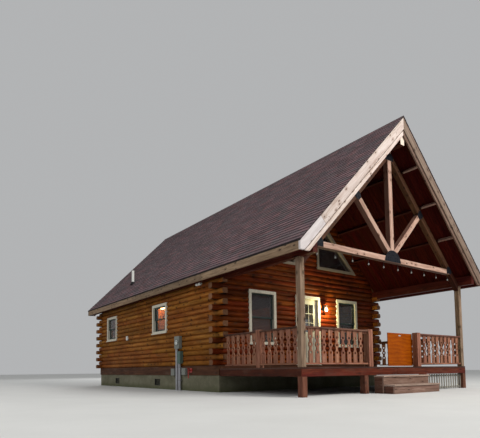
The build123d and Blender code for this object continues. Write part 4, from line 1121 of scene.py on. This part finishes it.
for yy, zs in ((2.258, (-0.35, 0.06, 0.40)), (2.085, (-0.35, 0.05))):
    for zz in zs:
        cs.lathe((XW - 0.045, yy, zz - 0.012), (0, 0, 1), [(0.0, 0.0430), (0.001, 0.0440), (0.023, 0.0440), (0.024, 0.0430)], n=20)
        cs.box(XW - 0.014, XW + 0.004, yy - 0.072, yy + 0.072, zz - 0.012, zz + 0.012)
cs.done(slot="grey_conduit")
HY = 1.465
hb = MB("garden_tap", [m_red, m_red])
hb.box(XW - 0.014, XW - 0.0005, HY - 0.065, HY + 0.065, -0.110, 0.020, along=(0, 0, 1))
hb.lathe((XW - 0.012, HY, -0.040), (-1, 0, 0), [(0.0, 0.028), (0.012, 0.024), (0.03, 0.019), (0.075, 0.020), (0.095, 0.024)], n=16)
hb.lathe((XW - 0.100, HY, -0.278), (0, 0, 1), [(0.0, 0.019), (0.02, 0.0195), (0.022, 0.015), (0.22, 0.016), (0.24, 0.021), (0.265, 0.018), (0.27, 0.008), (0.292, 0.008)], n=16)
hb.lathe((XW - 0.100, HY, 0.012), (0, 0, 1), [(0.0, 0.030), (0.002, 0.047), (0.012, 0.047), (0.015, 0.028)], n=24)
hb.done(replaces=("hose_bib",), slot="red_paint")
vp = MB("vent_boot", [m_black])
VX, VY = -3.087, 6.680
zb = RIDGE + VX
vp.lathe((VX, VY, zb - 0.055), (0, 0, 1), [(0.0, 0.120), (0.075, 0.085), (0.110, 0.060), (0.118, 0.0525)], n=24)
vp.done(slot="white_pvc")
fl = MB("flood_lenses", [m_lens, m_zinc])
for yy, d in ((0.635, -1), (0.885, 1)):
    fl.lathe((-3.665, yy, 2.455), (0, d, 0), [(-0.002, 0.040), (0.0, 0.0445), (0.004, 0.040), (0.007, 0.02)], n=20)
fl.done(slot="white_pvc")

sl = MB("string_of_bulbs", [m_black, m_bulb])
n = 60
prev = None
for i in range(n):
    x0, x1 = -2.850 + 5.700 * i / n, -2.850 + 5.700 * (i + 1) / n
    sl.tube((x0, -3.050, 2.7695), (x1, -3.050, 2.7695), 0.005, n=8, caps=(i in (0, n - 1)))
for i in range(10):
    xb = -2.835 + 0.630 * i
    sl.tube((xb, -3.050, 2.672), (xb, -3.050, 2.768), 0.0045, n=8)
    sl.lathe((xb, -3.050, 2.640), (0, 0, 1), [(0.0, 0.0125), (0.022, 0.0130), (0.034, 0.009), (0.040, 0.006)], n=14)
    sl.lathe((xb, -3.050, 2.586), (0, 0, 1), [(0, 0.00234), (0.004, 0.01092), (0.014, 0.01833), (0.026, 0.02067), (0.038, 0.01716), (0.049, 0.0117), (0.055, 0.00897)], n=16, mat=1)
sl.done(replaces=("string_lights",), slot="bulb_glass")

# flashing strip over the sill boards
fs = MB("sill_flashing", [m_drip])
for sg in (-1, 1):
    fs.box(sg * 3.475, sg * 3.518, 0.0, 9.2, 0.0905, 0.0935, along=(0, 1, 0))
for a, b in ((-3.5, -0.552), (0.552, 3.5)):
    fs.box(a, b, -0.006, 0.030, 0.0905, 0.0935)
fs.box(-3.5, 3.5, 9.170, 9.206, 0.0905, 0.0935)
fs.done(slot="dark_timber")

# louvres in the foundation vents
lv = MB("foundation_louvres", [m_black])
for sg in (-1, 1):
    for yc in (3.75, 7.30):
        for i in range(6):
            z = -0.526 + 0.034 * i
            lv.prism([(sg * 3.450, z + 0.010), (sg * 3.474, z), (sg * 3.474, z + 0.004), (sg * 3.450, z + 0.014)], "y", yc - 0.186, yc + 0.186, (0, 1, 0))
        for a, b in ((yc - 0.1995, yc - 0.187), (yc + 0.187, yc + 0.1995)):
            lv.box(sg * 3.442, sg * 3.478, a, b, -0.5395, -0.3205, along=(0, 0, 1))
        for a, b in ((-0.5395, -0.529), (-0.331, -0.3205)):
            lv.box(sg * 3.442, sg * 3.478, yc - 0.1865, yc + 0.1865, a, b, along=(0, 1, 0))
lv.done(slot="black_steel")

# ------------------------------------------------------------------ stage and light
fm = NT("studio_floor")
pf = fm.pos()
nf = fm.noise(pf, 0.8, 4.0)
fm.bsdf(fm.mix(fm.maprange(nf, 0.3, 0.7, 0.0, 1.0), (0.62, 0.62, 0.60), (0.66, 0.66, 0.64)), 0.9, normal=fm.bump(fm.noise(pf, 30.0, 3.0), 0.1, 0.002))
me = bpy.data.meshes.new("studio_floor")
S_ = 120.0
me.from_pydata([(-S_, -S_, 0), (S_, -S_, 0), (S_, S_, 0), (-S_, S_, 0)], [], [(0, 1, 2, 3)])
fo = bpy.data.objects.new("studio_floor", me)
me.materials.append(fm.m)
bpy.context.scene.collection.objects.link(fo)

wd = bpy.data.worlds.new("studio") if bpy.context.scene.world is None else bpy.context.scene.world
bpy.context.scene.world = wd
wd.use_nodes = True
bg = wd.node_tree.nodes.get("Background") or wd.node_tree.nodes.new("ShaderNodeBackground")
bg.inputs[0].default_value = (0.97, 0.985, 1.0, 1.0)
bg.inputs[1].default_value = 0.46


def area(name, loc, target, size, power, col=(1, 1, 1)):
    l = bpy.data.lights.new(name, "AREA")
    l.shape = "DISK"
    l.size = size
    l.energy = power
    l.color = col
    o = bpy.data.objects.new(name, l)
    bpy.context.scene.collection.objects.link(o)
    o.location = loc
    o.rotation_euler = (Vector(target) - Vector(loc)).to_track_quat("-Z", "Y").to_euler()
    return o


area("key", (3, -19, 15), (0, -1, 2.5), 8.0, 3300, (1.0, 0.98, 0.95))
area("fill", (-19, -4, 9), (0, 2, 2.0), 12.0, 740, (0.98, 0.99, 1.0))
area("back", (9, 24, 12), (0, 4, 2.5), 10.0, 1300, (0.98, 0.99, 1.0))
lp = bpy.data.lights.new("lantern_light", "POINT")
lp.energy = 70.0
lp.color = (1.0, 0.90, 0.46)
lp.shadow_soft_size = 0.03
lo = bpy.data.objects.new("lantern_light", lp)
lo.location = P(LX, -0.23, LZ - 0.08)
bpy.context.scene.collection.objects.link(lo)

# a lamp left on inside the side room
li = bpy.data.lights.new("room_light", "POINT")
li.energy = 150.0
li.color = (1.0, 0.60, 0.26)
li.shadow_soft_size = 0.12
ro = bpy.data.objects.new("room_light", li)
ro.location = P(-0.8, 8.5, 2.95)
bpy.context.scene.collection.objects.link(ro)

bpy.context.scene.view_settings.view_transform = "Standard"
bpy.context.scene.view_settings.look = "None"
bpy.context.scene.view_settings.exposure = 0.0
